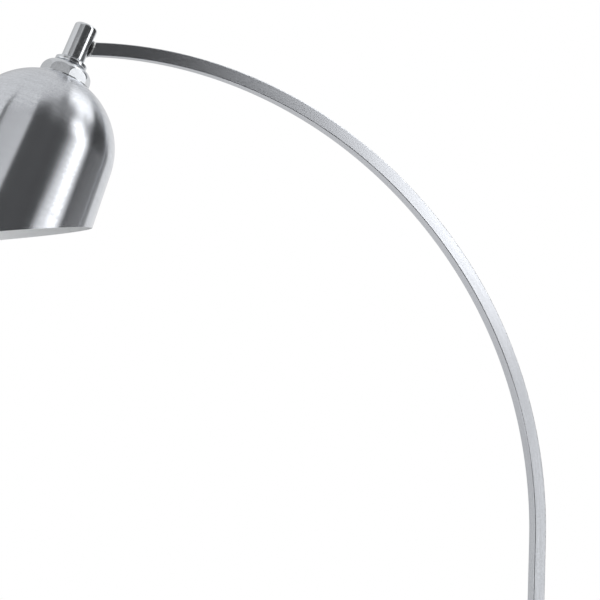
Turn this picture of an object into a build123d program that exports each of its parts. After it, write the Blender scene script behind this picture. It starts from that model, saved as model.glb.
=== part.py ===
"""Arc floor lamp: weighted round base, leaning square post, two-radius arch and a slant-cut dome shade.

Units are millimetres.  +Z is up, the arch lies in the XZ plane, the shade hangs on the -X side and the
origin is on the floor under the centre of the base.
"""
import os
from math import atan2, cos, degrees, hypot, radians, sin, tan

from build123d import *

os.makedirs("parts", exist_ok=True)

# Clearances
FREE = 0.3          # between pieces that move against each other
RUN = 0.06          # radial, turning fit on a pin
SLIP = 0.1          # between pieces that are pushed together

# Square tube and arch
TUBE = 22.0
TUBE_WALL = 1.5
TUBE_CORNER = 2.2
LEAN = 1.85         # degrees the post leans away from the shade
ARC_R1 = 745.0      # centreline radius next to the post
ARC_R2 = 820.0      # centreline radius towards the shade
ARC_TURN1 = 35.0    # degrees above the post side where the radius changes
ARM_END = 92.1      # degrees at which the arm stops
ARC_Z = 1130.0      # height of the first arc's centre
SPLICE_Z = 820.0    # height of the joint between post and arch

# Joint between post and arch
SLEEVE_L = 160.0
SLEEVE_WALL = 2.9
SCREW_PITCH = 30.0
SCREW_R = 2.5
SCREW_HEAD_R = 4.6
SCREW_HEAD_H = 2.6

# Base
FOOT_H = 4.0
FOOT_R = 11.0
FOOT_INSET = 20.0   # foot centres in from the weight's edge
WEIGHT_R = 168.0
WEIGHT_H = 30.0
SHEET = 1.0
EDGE_R = 4.0        # rounding of the cover's top edge
POST_X = 70.0       # post centre at the foot plate
PLATE_SIDE = 72.0
PLATE_H = 6.0
BOLT_INSET = 11.0
BOLT_R = 4.0
BOLT_HEAD_R = 8.0
BOLT_L = 16.0
RECESS_R = 50.0
RECESS_H = 10.0
LEDGE = 7.0         # ledge that carries the recess lid
LID_H = 1.2
LID_SCREW_R = 1.9
LID_HEAD_R = 3.4
LID_HEAD_H = 1.8
LID_SCREW_L = 9.0
COLLAR_SIDE = 40.0
COLLAR_H = 8.0
LEAD_R = 2.2
BLOCK_GAP = 18.0    # post centre to terminal block
BLOCK_L = 24.0
BLOCK_W = 14.0
BLOCK_SKIRT = 4.0   # block depth below the lead
GLAND_R = 6.5
GLAND_BORE = 3.6
GLAND_FLANGE = 8.5
GLAND_FLANGE_H = 2.5
GLAND_L = 10.0
GLAND_ROOM = 2.5

# Neck and shade
TILT = 24.4         # degrees the neck leans towards the post
DOME_R = 132.5
DOME_WALL = 1.2
FLARE = 4.3         # degrees the skirt opens below the dome
RIM_S = -160.3      # where the rim plane crosses the axis, from the dome's centre
RIM_DROP = 5.66     # degrees the rim falls away from level
SEAT_R = 44.0       # flat seat on top of the dome
SEAT_H = 1.5
COLLAR_FLATS = 80.4 # across the eight flats
COLLAR_TURN = -12.7 # degrees from the arch's plane to a corner
NECK_COLLAR_H = 26.2
COLLAR_WALL = 6.0
COLLAR_ROOF = 8.0
COLLAR_ROUND = 20.0
RING_R = 27.4
RING_NECK = 4.0
RING_STEP = 0.9
RING_H = 7.6
SEAM_H = 2.4
SEAM_R = 16.5
BARREL_R = 19.6
BARREL_WALL = 6.3
BARREL_H = 57.0
CAP_H = 6.0
CAP_PLUG = 6.0
PIVOT_UP = 30.6     # swivel axis above the barrel's lower end
SPOT_CUT = 3.3      # depth of the flat cut into the barrel
SPOT_ROOM = 3.5     # flat left free round the arm's end
PAD_R = 12.6
PAD_H = 3.0
WASHER_R = 14.7
WASHER_H = 2.2
SPRING_H = 1.2
PIPE_R = 5.0
PIPE_WALL = 1.6
NUT_H = 4.5
BUSH_H = 10.5
STEM_GRIP = 8.7     # stem length inside the arm's plug
PLUG_L = 41.5       # length of arch filled by the plug
LEAD_OFF = -4.0     # lead's offset inside the arch's centreline
LEAD_BEND = 20.0    # lead's bend into the stem
LEAD_TURN = 6.0     # lead's bend under the post
PIPE_STICK = 2.2
INNER_R = 30.0      # washer inside the dome
INNER_H = 2.0
LOCK_H = 4.6

# Lamp holder and bulb
HOLDER_DROP = 33.0  # dome seat to the holder's parting line
HOLDER_R = 19.0
HOLDER_L = 38.0
CORE_H = 6.0
CONTACT_H = 0.7
CONTACT_R = 4.5
THREAD_R = 13.0     # bulb cap
SHELL_GAP = 0.5
SHELL_WALL = 0.8
CAP_GAP = 37.0      # parting line to the lower end of the bulb's cap
GLASS_R = 30.0
GLASS_WALL = 0.8
BULB_DROP = 118.0   # parting line to the bulb's tip
KNOB_UP = 6.0
SPINDLE_R = 2.0
SPINDLE_OUT = 14.0
SPINDLE_IN = 8.0
KNOB_R = 5.5
KNOB_L = 17.0
KNOB_W = 6.0
KNOB_H = 11.0

# Derived heights of the base
WEIGHT_TOP = FOOT_H + WEIGHT_H
COVER_TOP = WEIGHT_TOP + SHEET
COVER_R = WEIGHT_R + SHEET + SLIP
SEAT_Z = WEIGHT_TOP - PLATE_H
RECESS_TOP = FOOT_H + RECESS_H
GLAND_Z = FOOT_H + GLAND_R + GLAND_ROOM
WIRE_Z = RECESS_TOP - BLOCK_SKIRT
LID_R = RECESS_R + LEDGE
LID_PCR = RECESS_R + LEDGE / 2
BOLT_SPAN = PLATE_SIDE - 2 * BOLT_INSET
BOLT_HEAD_H = BOLT_HEAD_R - BOLT_R
BLOCK_X = POST_X + BLOCK_GAP

# Derived arch
lean = radians(LEAN)
start_z = ARC_Z - ARC_R1 * sin(lean)
POST_TOP_X = POST_X + (start_z - SEAT_Z) * tan(lean)
ARC1_X = POST_TOP_X - ARC_R1 * cos(lean)
turn1 = radians(ARC_TURN1)
ARC2_X = ARC1_X + (ARC_R1 - ARC_R2) * cos(turn1)
ARC2_Z = ARC_Z + (ARC_R1 - ARC_R2) * sin(turn1)
INNER = TUBE - 2 * TUBE_WALL
SLEEVE = INNER - 2 * SLIP
POST_DIR = (sin(lean), 0, cos(lean))
POST_TANGENT = (sin(lean), cos(lean))


def post_point(z, off=0.0):
    """Point (x, z) on the post's centreline at height z, moved sideways by off."""
    return (POST_X + (z - SEAT_Z) * tan(lean) + off * cos(lean), z - off * sin(lean))


def arc2_point(angle, off=0.0):
    """Point (x, z) on the second arc at an angle in degrees, off outside its centreline."""
    a = radians(angle)
    return (ARC2_X + (ARC_R2 + off) * cos(a), ARC2_Z + (ARC_R2 + off) * sin(a))


def arc2_tangent(angle):
    """Direction (x, z) of travel towards the shade on the second arc."""
    a = radians(angle)
    return (-sin(a), cos(a))


# Derived neck frame
tilt = radians(TILT)
drop = radians(RIM_DROP)
AXIS_UP = (sin(tilt), 0, cos(tilt))
AXIS_SIDE = (cos(tilt), 0, -sin(tilt))
SPOT_D = BARREL_R - SPOT_CUT
BARREL_BORE = BARREL_R - BARREL_WALL
SEAT_D = BARREL_BORE + FREE
PAD_D = SPOT_D + FREE
FACE_D = PAD_D + PAD_H + WASHER_H
MITRE = radians(TILT + ARM_END - 90)
SPOT_R = hypot(TUBE / 2, TUBE / 2 / cos(MITRE)) + SPOT_ROOM
LAND_S = (DOME_R**2 - SEAT_R**2) ** 0.5
SEAT_S = LAND_S + SEAT_H
COLLAR_TOP = SEAT_S + NECK_COLLAR_H
RING_TOP = COLLAR_TOP + RING_STEP + RING_H
SEAM_S = RING_TOP + FREE
BARREL_S = SEAM_S + SEAM_H
BARREL_TOP = BARREL_S + BARREL_H
PIVOT_S = BARREL_S + PIVOT_UP
arm_x, arm_z = arc2_point(ARM_END)
PIVOT_X = arm_x - FACE_D * cos(tilt)
PIVOT_Z = arm_z + FACE_D * sin(tilt)
DOME_X = PIVOT_X - PIVOT_S * sin(tilt)
DOME_Z = PIVOT_Z - PIVOT_S * cos(tilt)
NECK = Plane(origin=(DOME_X, 0, DOME_Z), x_dir=AXIS_SIDE, z_dir=AXIS_UP)
NECK_SIDE = Plane(origin=(DOME_X, 0, DOME_Z), x_dir=AXIS_SIDE, z_dir=(0, -1, 0))
NECK_AXIS = Axis((DOME_X, 0, DOME_Z), AXIS_UP)
SWIVEL = Plane(origin=(PIVOT_X, 0, PIVOT_Z), x_dir=(0, 1, 0), z_dir=AXIS_SIDE)
RIM = Plane(
    origin=(DOME_X + RIM_S * sin(tilt), 0, DOME_Z + RIM_S * cos(tilt)),
    x_dir=(cos(drop), 0, sin(drop)),
    z_dir=(-sin(drop), 0, cos(drop)),
)
PIPE_BORE = PIPE_R - PIPE_WALL
NUT_FLATS = 2 * PIPE_R + 4.0
SPRING_R = NUT_FLATS / 2 / cos(radians(30)) + 0.5
BUSH_TOP = BARREL_S + BUSH_H
PIPE_TOP = BUSH_TOP + FREE + NUT_H + PIPE_STICK
INWASH_S = LAND_S - DOME_WALL - INNER_H
LOCK_S = INWASH_S - LOCK_H
CORE_S = LAND_S - HOLDER_DROP
PIPE_END = CORE_S + 16.0
CONTACT_S = CORE_S - CORE_H - CONTACT_H
KNOB_S = CORE_S + KNOB_UP
SPRING_D = SEAT_D - FREE - SPRING_H
STEM_IN = SPRING_D - NUT_H - 1.3
STEM_OUT = FACE_D + STEM_GRIP
BULB_TOP = CONTACT_S - FREE
CAP_END = CORE_S - CAP_GAP
GLASS_S = CORE_S - BULB_DROP + GLASS_R
SHELL_R = THREAD_R + SHELL_GAP + SHELL_WALL

# Base weight
with BuildPart() as base_weight:
    with BuildSketch(Plane.XY.offset(FOOT_H)):
        Circle(WEIGHT_R)
    extrude(amount=WEIGHT_H)
    fillet(base_weight.edges().group_by(Axis.Z)[-1], radius=EDGE_R - SHEET)
    with BuildSketch(Plane.XY.offset(SEAT_Z)):
        with Locations((POST_X, 0)):
            Rectangle(PLATE_SIDE + 2 * SLIP, PLATE_SIDE + 2 * SLIP)
    extrude(amount=PLATE_H, mode=Mode.SUBTRACT)
    with BuildSketch(Plane.XY.offset(FOOT_H)):
        with Locations((POST_X, 0)):
            Circle(LID_R + SLIP)
    extrude(amount=LID_H, mode=Mode.SUBTRACT)
    with BuildSketch(Plane.XY.offset(FOOT_H)):
        with Locations((POST_X, 0)):
            Circle(RECESS_R)
        with Locations((POST_X + WEIGHT_R / 2, 0)):
            Rectangle(WEIGHT_R, 2 * (GLAND_R + GLAND_ROOM))
    extrude(amount=RECESS_H, mode=Mode.SUBTRACT)
    with BuildSketch(Plane.YZ.offset(WEIGHT_R - GLAND_L - 4.0)):
        with Locations((0, GLAND_Z)):
            Circle(GLAND_R + GLAND_ROOM)
    extrude(amount=GLAND_L + 8.0, mode=Mode.SUBTRACT)
    with BuildSketch(Plane.XY.offset(RECESS_TOP)):
        with Locations((POST_X, 0)):
            Circle(7.0)
    extrude(amount=SEAT_Z - RECESS_TOP, mode=Mode.SUBTRACT)
    with BuildSketch(Plane.XY.offset(WEIGHT_TOP - BOLT_L - 1.0)):
        with Locations((POST_X, 0)):
            with GridLocations(BOLT_SPAN, BOLT_SPAN, 2, 2):
                Circle(BOLT_R)
    extrude(amount=BOLT_L + 1.0 - PLATE_H, mode=Mode.SUBTRACT)
    with BuildSketch(Plane.XY.offset(FOOT_H)):
        with Locations((POST_X, 0)):
            with PolarLocations(LID_PCR, 4, start_angle=45):
                Circle(LID_SCREW_R + SLIP / 2)
    extrude(amount=LID_SCREW_L + 1.0, mode=Mode.SUBTRACT)
base_weight.part.label = "base_weight"
export_step(base_weight.part, "parts/base_weight.step")

# Brushed cover drawn over the weight
with BuildPart() as base_cover:
    with BuildSketch(Plane.XY.offset(FOOT_H + 1.0)):
        Circle(COVER_R)
    extrude(amount=WEIGHT_H - 1.0 + SHEET)
    fillet(base_cover.edges().group_by(Axis.Z)[-1], radius=EDGE_R)
    offset(amount=-SHEET, openings=base_cover.faces().sort_by(Axis.Z)[0])
    with BuildSketch(Plane.XY.offset(WEIGHT_TOP)):
        with Locations((post_point(COVER_TOP)[0], 0)):
            RectangleRounded(TUBE + 4 * FREE, TUBE + 4 * FREE, TUBE_CORNER)
    extrude(amount=SHEET, mode=Mode.SUBTRACT)
    with BuildSketch(Plane.YZ.offset(WEIGHT_R - GLAND_L)):
        with Locations((0, GLAND_Z)):
            Circle(GLAND_R + SLIP)
    extrude(amount=GLAND_L + 8.0, mode=Mode.SUBTRACT)
base_cover.part.label = "base_cover"
export_step(base_cover.part, "parts/base_cover.step")

# Rubber feet
with BuildPart() as base_feet:
    with BuildSketch(Plane.XY):
        Circle(FOOT_R)
        with PolarLocations(WEIGHT_R - FOOT_INSET, 6, start_angle=30):
            Circle(FOOT_R)
    extrude(amount=FOOT_H)
base_feet.part.label = "base_feet"
export_step(base_feet.part, "parts/base_feet.step")

# Lid closing the wiring recess
with BuildPart() as recess_lid:
    with BuildSketch(Plane.XY.offset(FOOT_H)):
        with Locations((POST_X, 0)):
            Circle(LID_R)
            with PolarLocations(LID_PCR, 4, start_angle=45):
                Circle(LID_SCREW_R + SLIP, mode=Mode.SUBTRACT)
    extrude(amount=LID_H)
recess_lid.part.label = "recess_lid"
export_step(recess_lid.part, "parts/recess_lid.step")

with BuildPart() as lid_screws:
    with BuildSketch(Plane.XY.offset(FOOT_H - LID_HEAD_H)):
        with Locations((POST_X, 0)):
            with PolarLocations(LID_PCR, 4, start_angle=45):
                Circle(LID_HEAD_R)
    extrude(amount=LID_HEAD_H)
    with BuildSketch(Plane.XY.offset(FOOT_H)):
        with Locations((POST_X, 0)):
            with PolarLocations(LID_PCR, 4, start_angle=45):
                Circle(LID_SCREW_R)
    extrude(amount=LID_SCREW_L)
lid_screws.part.label = "lid_screws"
export_step(lid_screws.part, "parts/lid_screws.step")

# Cord inlet bushing at the back of the base
with BuildPart() as cord_bushing:
    with BuildSketch(Plane.YZ.offset(COVER_R - GLAND_L)):
        with Locations((0, GLAND_Z)):
            Circle(GLAND_R)
    extrude(amount=GLAND_L)
    with BuildSketch(Plane.YZ.offset(COVER_R)):
        with Locations((0, GLAND_Z)):
            Circle(GLAND_FLANGE)
    extrude(amount=GLAND_FLANGE_H)
    fillet(cord_bushing.edges().group_by(Axis.X)[-1], radius=1.0)
    with BuildSketch(Plane.YZ.offset(COVER_R - GLAND_L)):
        with Locations((0, GLAND_Z)):
            Circle(GLAND_BORE)
    extrude(amount=GLAND_L + GLAND_FLANGE_H, mode=Mode.SUBTRACT)
cord_bushing.part.label = "cord_bushing"
export_step(cord_bushing.part, "parts/cord_bushing.step")

# Terminal block in the recess
with BuildPart() as terminal_block:
    with BuildSketch(Plane.XY.offset(WIRE_Z - BLOCK_SKIRT)):
        with Locations((BLOCK_X + BLOCK_L / 2, 0)):
            RectangleRounded(BLOCK_L, BLOCK_W, 1.5)
    extrude(amount=RECESS_TOP - WIRE_Z + BLOCK_SKIRT)
    with BuildSketch(Plane.YZ.offset(BLOCK_X)):
        with Locations((0, WIRE_Z)):
            Circle(LEAD_R + SLIP)
    extrude(amount=BLOCK_L, mode=Mode.SUBTRACT)
    with BuildSketch(Plane.XY.offset(WIRE_Z - BLOCK_SKIRT)):
        with Locations((BLOCK_X + 5.0, 0), (BLOCK_X + BLOCK_L - 5.0, 0)):
            Circle(2.0)
    extrude(amount=BLOCK_SKIRT, mode=Mode.SUBTRACT)
terminal_block.part.label = "terminal_block"
export_step(terminal_block.part, "parts/terminal_block.step")

with BuildPart() as terminal_screws:
    with BuildSketch(Plane.XY.offset(WIRE_Z - BLOCK_SKIRT)):
        with Locations((BLOCK_X + 5.0, 0), (BLOCK_X + BLOCK_L - 5.0, 0)):
            Circle(2.0 - SLIP / 2)
    extrude(amount=BLOCK_SKIRT - LEAD_R - SLIP)
terminal_screws.part.label = "terminal_screws"
export_step(terminal_screws.part, "parts/terminal_screws.step")

# Steel plate welded to the foot of the post
with BuildPart() as foot_plate:
    with BuildSketch(Plane.XY.offset(SEAT_Z)):
        with Locations((POST_X, 0)):
            Rectangle(PLATE_SIDE, PLATE_SIDE)
    extrude(amount=PLATE_H)
    with BuildSketch(Plane(origin=(POST_X, 0, SEAT_Z), x_dir=(0, 1, 0), z_dir=POST_DIR).offset(-3.0)):
        RectangleRounded(TUBE + 2 * SLIP, TUBE + 2 * SLIP, TUBE_CORNER)
    extrude(amount=PLATE_H + 6.0, mode=Mode.SUBTRACT)
    with BuildSketch(Plane.XY.offset(SEAT_Z)):
        with Locations((POST_X, 0)):
            with GridLocations(BOLT_SPAN, BOLT_SPAN, 2, 2):
                Circle(BOLT_R + SLIP)
    extrude(amount=PLATE_H, mode=Mode.SUBTRACT)
    with GridLocations(BOLT_SPAN, BOLT_SPAN, 2, 2):
        with Locations((POST_X, 0, WEIGHT_TOP - BOLT_HEAD_H)):
            Cone(
                BOLT_R + SLIP,
                BOLT_HEAD_R + SLIP,
                BOLT_HEAD_H,
                align=(Align.CENTER, Align.CENTER, Align.MIN),
                mode=Mode.SUBTRACT,
            )
foot_plate.part.label = "foot_plate"
export_step(foot_plate.part, "parts/foot_plate.step")

# Countersunk screws holding the plate to the weight
with BuildPart() as foot_screws:
    with GridLocations(BOLT_SPAN, BOLT_SPAN, 2, 2):
        with Locations((POST_X, 0, WEIGHT_TOP - BOLT_HEAD_H)):
            Cone(BOLT_R - SLIP, BOLT_HEAD_R, BOLT_HEAD_H, align=(Align.CENTER, Align.CENTER, Align.MIN))
            Cylinder(BOLT_R - SLIP, BOLT_L - BOLT_HEAD_H, align=(Align.CENTER, Align.CENTER, Align.MAX))
foot_screws.part.label = "foot_screws"
export_step(foot_screws.part, "parts/foot_screws.step")

# Square trim collar on the base cover
with BuildPart() as pole_collar:
    with BuildSketch(Plane.XY.offset(COVER_TOP)):
        with Locations((post_point(COVER_TOP + COLLAR_H / 2)[0], 0)):
            RectangleRounded(COLLAR_SIDE, COLLAR_SIDE, 4.0)
    extrude(amount=COLLAR_H)
    fillet(pole_collar.edges().group_by(Axis.Z)[-1], radius=2.0)
    with BuildSketch(Plane(origin=(POST_X, 0, SEAT_Z), x_dir=(0, 1, 0), z_dir=POST_DIR)):
        RectangleRounded(TUBE + 2 * SLIP, TUBE + 2 * SLIP, TUBE_CORNER)
    extrude(amount=30.0, mode=Mode.SUBTRACT)
pole_collar.part.label = "pole_collar"
export_step(pole_collar.part, "parts/pole_collar.step")

# Lower post
splice_x, splice_z = post_point(SPLICE_Z)
POST_FOOT = Plane(origin=(POST_X, 0, SEAT_Z), x_dir=(0, 1, 0), z_dir=POST_DIR)
POST_LEN = (SPLICE_Z - SEAT_Z) / cos(lean)
SPLICE = POST_FOOT.offset(POST_LEN)
SCREW_STEPS = (-2 * SCREW_PITCH, -SCREW_PITCH, SCREW_PITCH, 2 * SCREW_PITCH)


def rear_face(step):
    """Plane through the post's centreline, step above the joint, facing away from the shade."""
    return Plane(origin=SPLICE.offset(step).origin, x_dir=(0, 1, 0), z_dir=(cos(lean), 0, -sin(lean)))


with BuildPart() as lower_pole:
    with BuildSketch(POST_FOOT.offset(-3.0)):
        RectangleRounded(TUBE, TUBE, TUBE_CORNER)
        RectangleRounded(INNER, INNER, TUBE_CORNER - TUBE_WALL, mode=Mode.SUBTRACT)
    extrude(amount=POST_LEN + 3.0)
    split(bisect_by=Plane.XY.offset(SEAT_Z), keep=Keep.TOP)
    for step in SCREW_STEPS[:2]:
        with BuildSketch(rear_face(step)):
            Circle(SCREW_R + SLIP)
        extrude(amount=TUBE, mode=Mode.SUBTRACT)
lower_pole.part.label = "lower_pole"
export_step(lower_pole.part, "parts/lower_pole.step")

# Inner sleeve joining post and arch
with BuildPart() as splice_sleeve:
    with BuildSketch(SPLICE.offset(-SLEEVE_L / 2)):
        RectangleRounded(SLEEVE, SLEEVE, 1.0)
        RectangleRounded(SLEEVE - 2 * SLEEVE_WALL, SLEEVE - 2 * SLEEVE_WALL, 1.0, mode=Mode.SUBTRACT)
    extrude(amount=SLEEVE_L)
    for step in SCREW_STEPS:
        with BuildSketch(rear_face(step)):
            Circle(SCREW_R)
        extrude(amount=TUBE, mode=Mode.SUBTRACT)
splice_sleeve.part.label = "splice_sleeve"
export_step(splice_sleeve.part, "parts/splice_sleeve.step")

with BuildPart() as splice_screws:
    for step in SCREW_STEPS:
        with BuildSketch(rear_face(step).offset(SLEEVE / 2 - SLEEVE_WALL)):
            Circle(SCREW_R - SLIP / 2)
        extrude(amount=TUBE / 2 - SLEEVE / 2 + SLEEVE_WALL)
        with BuildSketch(rear_face(step).offset(TUBE / 2)):
            Circle(SCREW_HEAD_R)
        extrude(amount=SCREW_HEAD_H, taper=25)
splice_screws.part.label = "splice_screws"
export_step(splice_screws.part, "parts/splice_screws.step")

# Arch tube, mitred at the shade end
with BuildPart() as arc_tube:
    with BuildLine(Plane.XZ) as arch_path:
        rise = Line((splice_x, splice_z), (POST_TOP_X, start_z))
        bend1 = JernArc(start=rise @ 1, tangent=rise % 1, radius=ARC_R1, arc_size=ARC_TURN1 + LEAN)
        past_end = ARM_END + 2.0 - ARC_TURN1
        bend2 = JernArc(start=bend1 @ 1, tangent=bend1 % 1, radius=ARC_R2, arc_size=past_end)
    with BuildSketch(Plane(origin=SPLICE.origin, x_dir=(0, 1, 0), z_dir=POST_DIR)):
        RectangleRounded(TUBE, TUBE, TUBE_CORNER)
        RectangleRounded(INNER, INNER, TUBE_CORNER - TUBE_WALL, mode=Mode.SUBTRACT)
    sweep(path=arch_path.wires()[0])
    split(bisect_by=SWIVEL.offset(FACE_D), keep=Keep.TOP)
    for step in SCREW_STEPS[2:]:
        with BuildSketch(rear_face(step)):
            Circle(SCREW_R + SLIP)
        extrude(amount=TUBE, mode=Mode.SUBTRACT)
arc_tube.part.label = "arc_tube"
export_step(arc_tube.part, "parts/arc_tube.step")

# Solid plug closing the arm's end
PLUG_TURN = degrees(PLUG_L / ARC_R2)
plug_x, plug_z = arc2_point(ARM_END - PLUG_TURN)
tan_x, tan_z = arc2_tangent(ARM_END - PLUG_TURN)
with BuildPart() as arm_plug:
    with BuildLine(Plane.XZ) as plug_path:
        JernArc(start=(plug_x, plug_z), tangent=(tan_x, tan_z), radius=ARC_R2, arc_size=PLUG_TURN + 2.0)
    with BuildSketch(Plane(origin=(plug_x, 0, plug_z), x_dir=(0, 1, 0), z_dir=(tan_x, 0, tan_z))):
        RectangleRounded(SLEEVE, SLEEVE, TUBE_CORNER - TUBE_WALL + SLIP)
    sweep(path=plug_path.wires()[0])
    split(bisect_by=SWIVEL.offset(FACE_D), keep=Keep.TOP)
    with BuildSketch(SWIVEL.offset(FACE_D)):
        Circle(PIPE_R + SLIP / 2)
    extrude(amount=STEM_OUT - FACE_D, mode=Mode.SUBTRACT)
    lead_x, lead_z = arc2_point(ARM_END - PLUG_TURN, LEAD_OFF)
    lead_in = Plane(origin=(lead_x, 0, lead_z), x_dir=(0, 1, 0), z_dir=(tan_x, 0, tan_z))
    with BuildSketch(lead_in.offset(-2.0)):
        Circle(LEAD_R + 0.6)
    extrude(amount=PLUG_L - 4.5, mode=Mode.SUBTRACT)
arm_plug.part.label = "arm_plug"
export_step(arm_plug.part, "parts/arm_plug.step")

# Swivel: hollow stem, dark pad, bright washer, spring washer and nut
with BuildPart() as swivel_stem:
    with BuildSketch(SWIVEL.offset(STEM_IN)):
        Circle(PIPE_R)
        Circle(PIPE_BORE, mode=Mode.SUBTRACT)
    extrude(amount=STEM_OUT - STEM_IN)
swivel_stem.part.label = "swivel_stem"
export_step(swivel_stem.part, "parts/swivel_stem.step")

with BuildPart() as swivel_pad:
    with BuildSketch(SWIVEL.offset(PAD_D)):
        Circle(PAD_R)
        Circle(PIPE_R + SLIP, mode=Mode.SUBTRACT)
    extrude(amount=PAD_H)
swivel_pad.part.label = "swivel_pad"
export_step(swivel_pad.part, "parts/swivel_pad.step")

with BuildPart() as swivel_washer:
    with BuildSketch(SWIVEL.offset(PAD_D + PAD_H)):
        Circle(WASHER_R)
        Circle(PIPE_R + SLIP, mode=Mode.SUBTRACT)
    extrude(amount=WASHER_H)
swivel_washer.part.label = "swivel_washer"
export_step(swivel_washer.part, "parts/swivel_washer.step")

with BuildPart() as spring_washer:
    with BuildSketch(SWIVEL.offset(SPRING_D)):
        Circle(SPRING_R)
        Circle(PIPE_R + SLIP, mode=Mode.SUBTRACT)
    extrude(amount=SPRING_H)
spring_washer.part.label = "spring_washer"
export_step(spring_washer.part, "parts/spring_washer.step")

with BuildPart() as swivel_nut:
    with BuildSketch(SWIVEL.offset(SPRING_D - NUT_H)):
        RegularPolygon(NUT_FLATS / 2, 6, major_radius=False)
        Circle(PIPE_R + SLIP / 2, mode=Mode.SUBTRACT)
    extrude(amount=NUT_H)
swivel_nut.part.label = "swivel_nut"
export_step(swivel_nut.part, "parts/swivel_nut.step")

# Knuckle barrel with its spot face for the arm
with BuildPart() as barrel:
    with BuildSketch(NECK.offset(BARREL_S)):
        Circle(BARREL_R)
        Circle(BARREL_BORE, mode=Mode.SUBTRACT)
    extrude(amount=BARREL_H)
    with BuildSketch(SWIVEL.offset(SPOT_D)):
        Circle(SPOT_R)
    extrude(amount=10.0, mode=Mode.SUBTRACT)
    with BuildSketch(SWIVEL):
        Circle(SPRING_R + 2 * FREE)
    extrude(amount=SEAT_D, mode=Mode.SUBTRACT)
    with BuildSketch(SWIVEL):
        Circle(PIPE_R + RUN)
    extrude(amount=SPOT_D, mode=Mode.SUBTRACT)
    fillet(barrel.edges().sort_by(NECK_AXIS)[0], radius=0.8)
barrel.part.label = "barrel"
export_step(barrel.part, "parts/barrel.step")

# Rounded cap pushed into the top of the barrel
with BuildPart() as barrel_cap:
    with BuildSketch(NECK.offset(BARREL_TOP)):
        Circle(BARREL_R)
    extrude(amount=CAP_H)
    fillet(barrel_cap.edges().sort_by(NECK_AXIS)[-1], radius=CAP_H - 0.8)
    with BuildSketch(NECK.offset(BARREL_TOP - CAP_PLUG)):
        Circle(BARREL_BORE - SLIP / 2)
    extrude(amount=CAP_PLUG)
    with BuildSketch(NECK.offset(BARREL_TOP - CAP_PLUG)):
        Circle(BARREL_BORE - 2.5)
    extrude(amount=CAP_PLUG, mode=Mode.SUBTRACT)
barrel_cap.part.label = "barrel_cap"
export_step(barrel_cap.part, "parts/barrel_cap.step")

# Bushing screwed into the bottom of the barrel
with BuildPart() as barrel_bush:
    with BuildSketch(NECK_SIDE):
        with BuildLine():
            Polyline(
                (PIPE_R + RUN, SEAM_S),
                (SEAM_R, SEAM_S),
                (SEAM_R, BARREL_S),
                (BARREL_BORE - SLIP / 2, BARREL_S),
                (BARREL_BORE - SLIP / 2, BUSH_TOP),
                (PIPE_R + RUN, BUSH_TOP),
                close=True,
            )
        make_face()
    revolve(axis=NECK_AXIS)
barrel_bush.part.label = "barrel_bush"
export_step(barrel_bush.part, "parts/barrel_bush.step")

# Hollow pipe through the neck and the nut that retains it
with BuildPart() as neck_pipe:
    with BuildSketch(NECK.offset(PIPE_END)):
        Circle(PIPE_R)
        Circle(PIPE_BORE, mode=Mode.SUBTRACT)
    extrude(amount=PIPE_TOP - PIPE_END)
neck_pipe.part.label = "neck_pipe"
export_step(neck_pipe.part, "parts/neck_pipe.step")

with BuildPart() as neck_nut:
    with BuildSketch(NECK.offset(BUSH_TOP + FREE)):
        RegularPolygon(NUT_FLATS / 2, 6, major_radius=False)
        Circle(PIPE_R + SLIP / 2, mode=Mode.SUBTRACT)
    extrude(amount=NUT_H)
neck_nut.part.label = "neck_nut"
export_step(neck_nut.part, "parts/neck_nut.step")

# Stepped ring under the barrel
with BuildPart() as neck_ring:
    with BuildSketch(NECK_SIDE):
        with BuildLine():
            Polyline(
                (PIPE_R + SLIP / 2, COLLAR_TOP),
                (RING_R - RING_NECK, COLLAR_TOP),
                (RING_R - RING_NECK, COLLAR_TOP + RING_STEP),
                (RING_R, COLLAR_TOP + RING_STEP),
                (RING_R, RING_TOP),
                (PIPE_R + SLIP / 2, RING_TOP),
                close=True,
            )
        make_face()
    revolve(axis=NECK_AXIS)
    fillet(neck_ring.edges().filter_by(GeomType.CIRCLE).sort_by(SortBy.RADIUS)[-2:], radius=2.0)
neck_ring.part.label = "neck_ring"
export_step(neck_ring.part, "parts/neck_ring.step")

# Large eight-sided collar with a rounded top, hollow underneath
COLLAR_CORNER = COLLAR_FLATS / 2 / cos(radians(22.5))
ROUND_S = COLLAR_TOP - COLLAR_ROUND
ROUND_D = COLLAR_CORNER - COLLAR_ROUND
with BuildPart() as neck_collar:
    with BuildSketch(NECK.offset(SEAT_S)):
        RegularPolygon(COLLAR_FLATS / 2, 8, major_radius=False, rotation=COLLAR_TURN)
    extrude(amount=NECK_COLLAR_H)
    with BuildSketch(NECK_SIDE):
        with BuildLine():
            Line((0, SEAT_S), (COLLAR_CORNER, SEAT_S))
            Line((COLLAR_CORNER, SEAT_S), (COLLAR_CORNER, ROUND_S))
            ThreePointArc(
                (COLLAR_CORNER, ROUND_S),
                (ROUND_D + COLLAR_ROUND * cos(radians(45)), ROUND_S + COLLAR_ROUND * sin(radians(45))),
                (ROUND_D, COLLAR_TOP),
            )
            Polyline((ROUND_D, COLLAR_TOP), (0, COLLAR_TOP), (0, SEAT_S))
        make_face()
    revolve(axis=NECK_AXIS, mode=Mode.INTERSECT)
    with BuildSketch(NECK.offset(SEAT_S)):
        Circle(COLLAR_FLATS / 2 - COLLAR_WALL)
    extrude(amount=NECK_COLLAR_H - COLLAR_ROOF, mode=Mode.SUBTRACT)
    with BuildSketch(NECK.offset(SEAT_S)):
        Circle(PIPE_R + SLIP / 2)
    extrude(amount=NECK_COLLAR_H, mode=Mode.SUBTRACT)
neck_collar.part.label = "neck_collar"
export_step(neck_collar.part, "parts/neck_collar.step")

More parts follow.
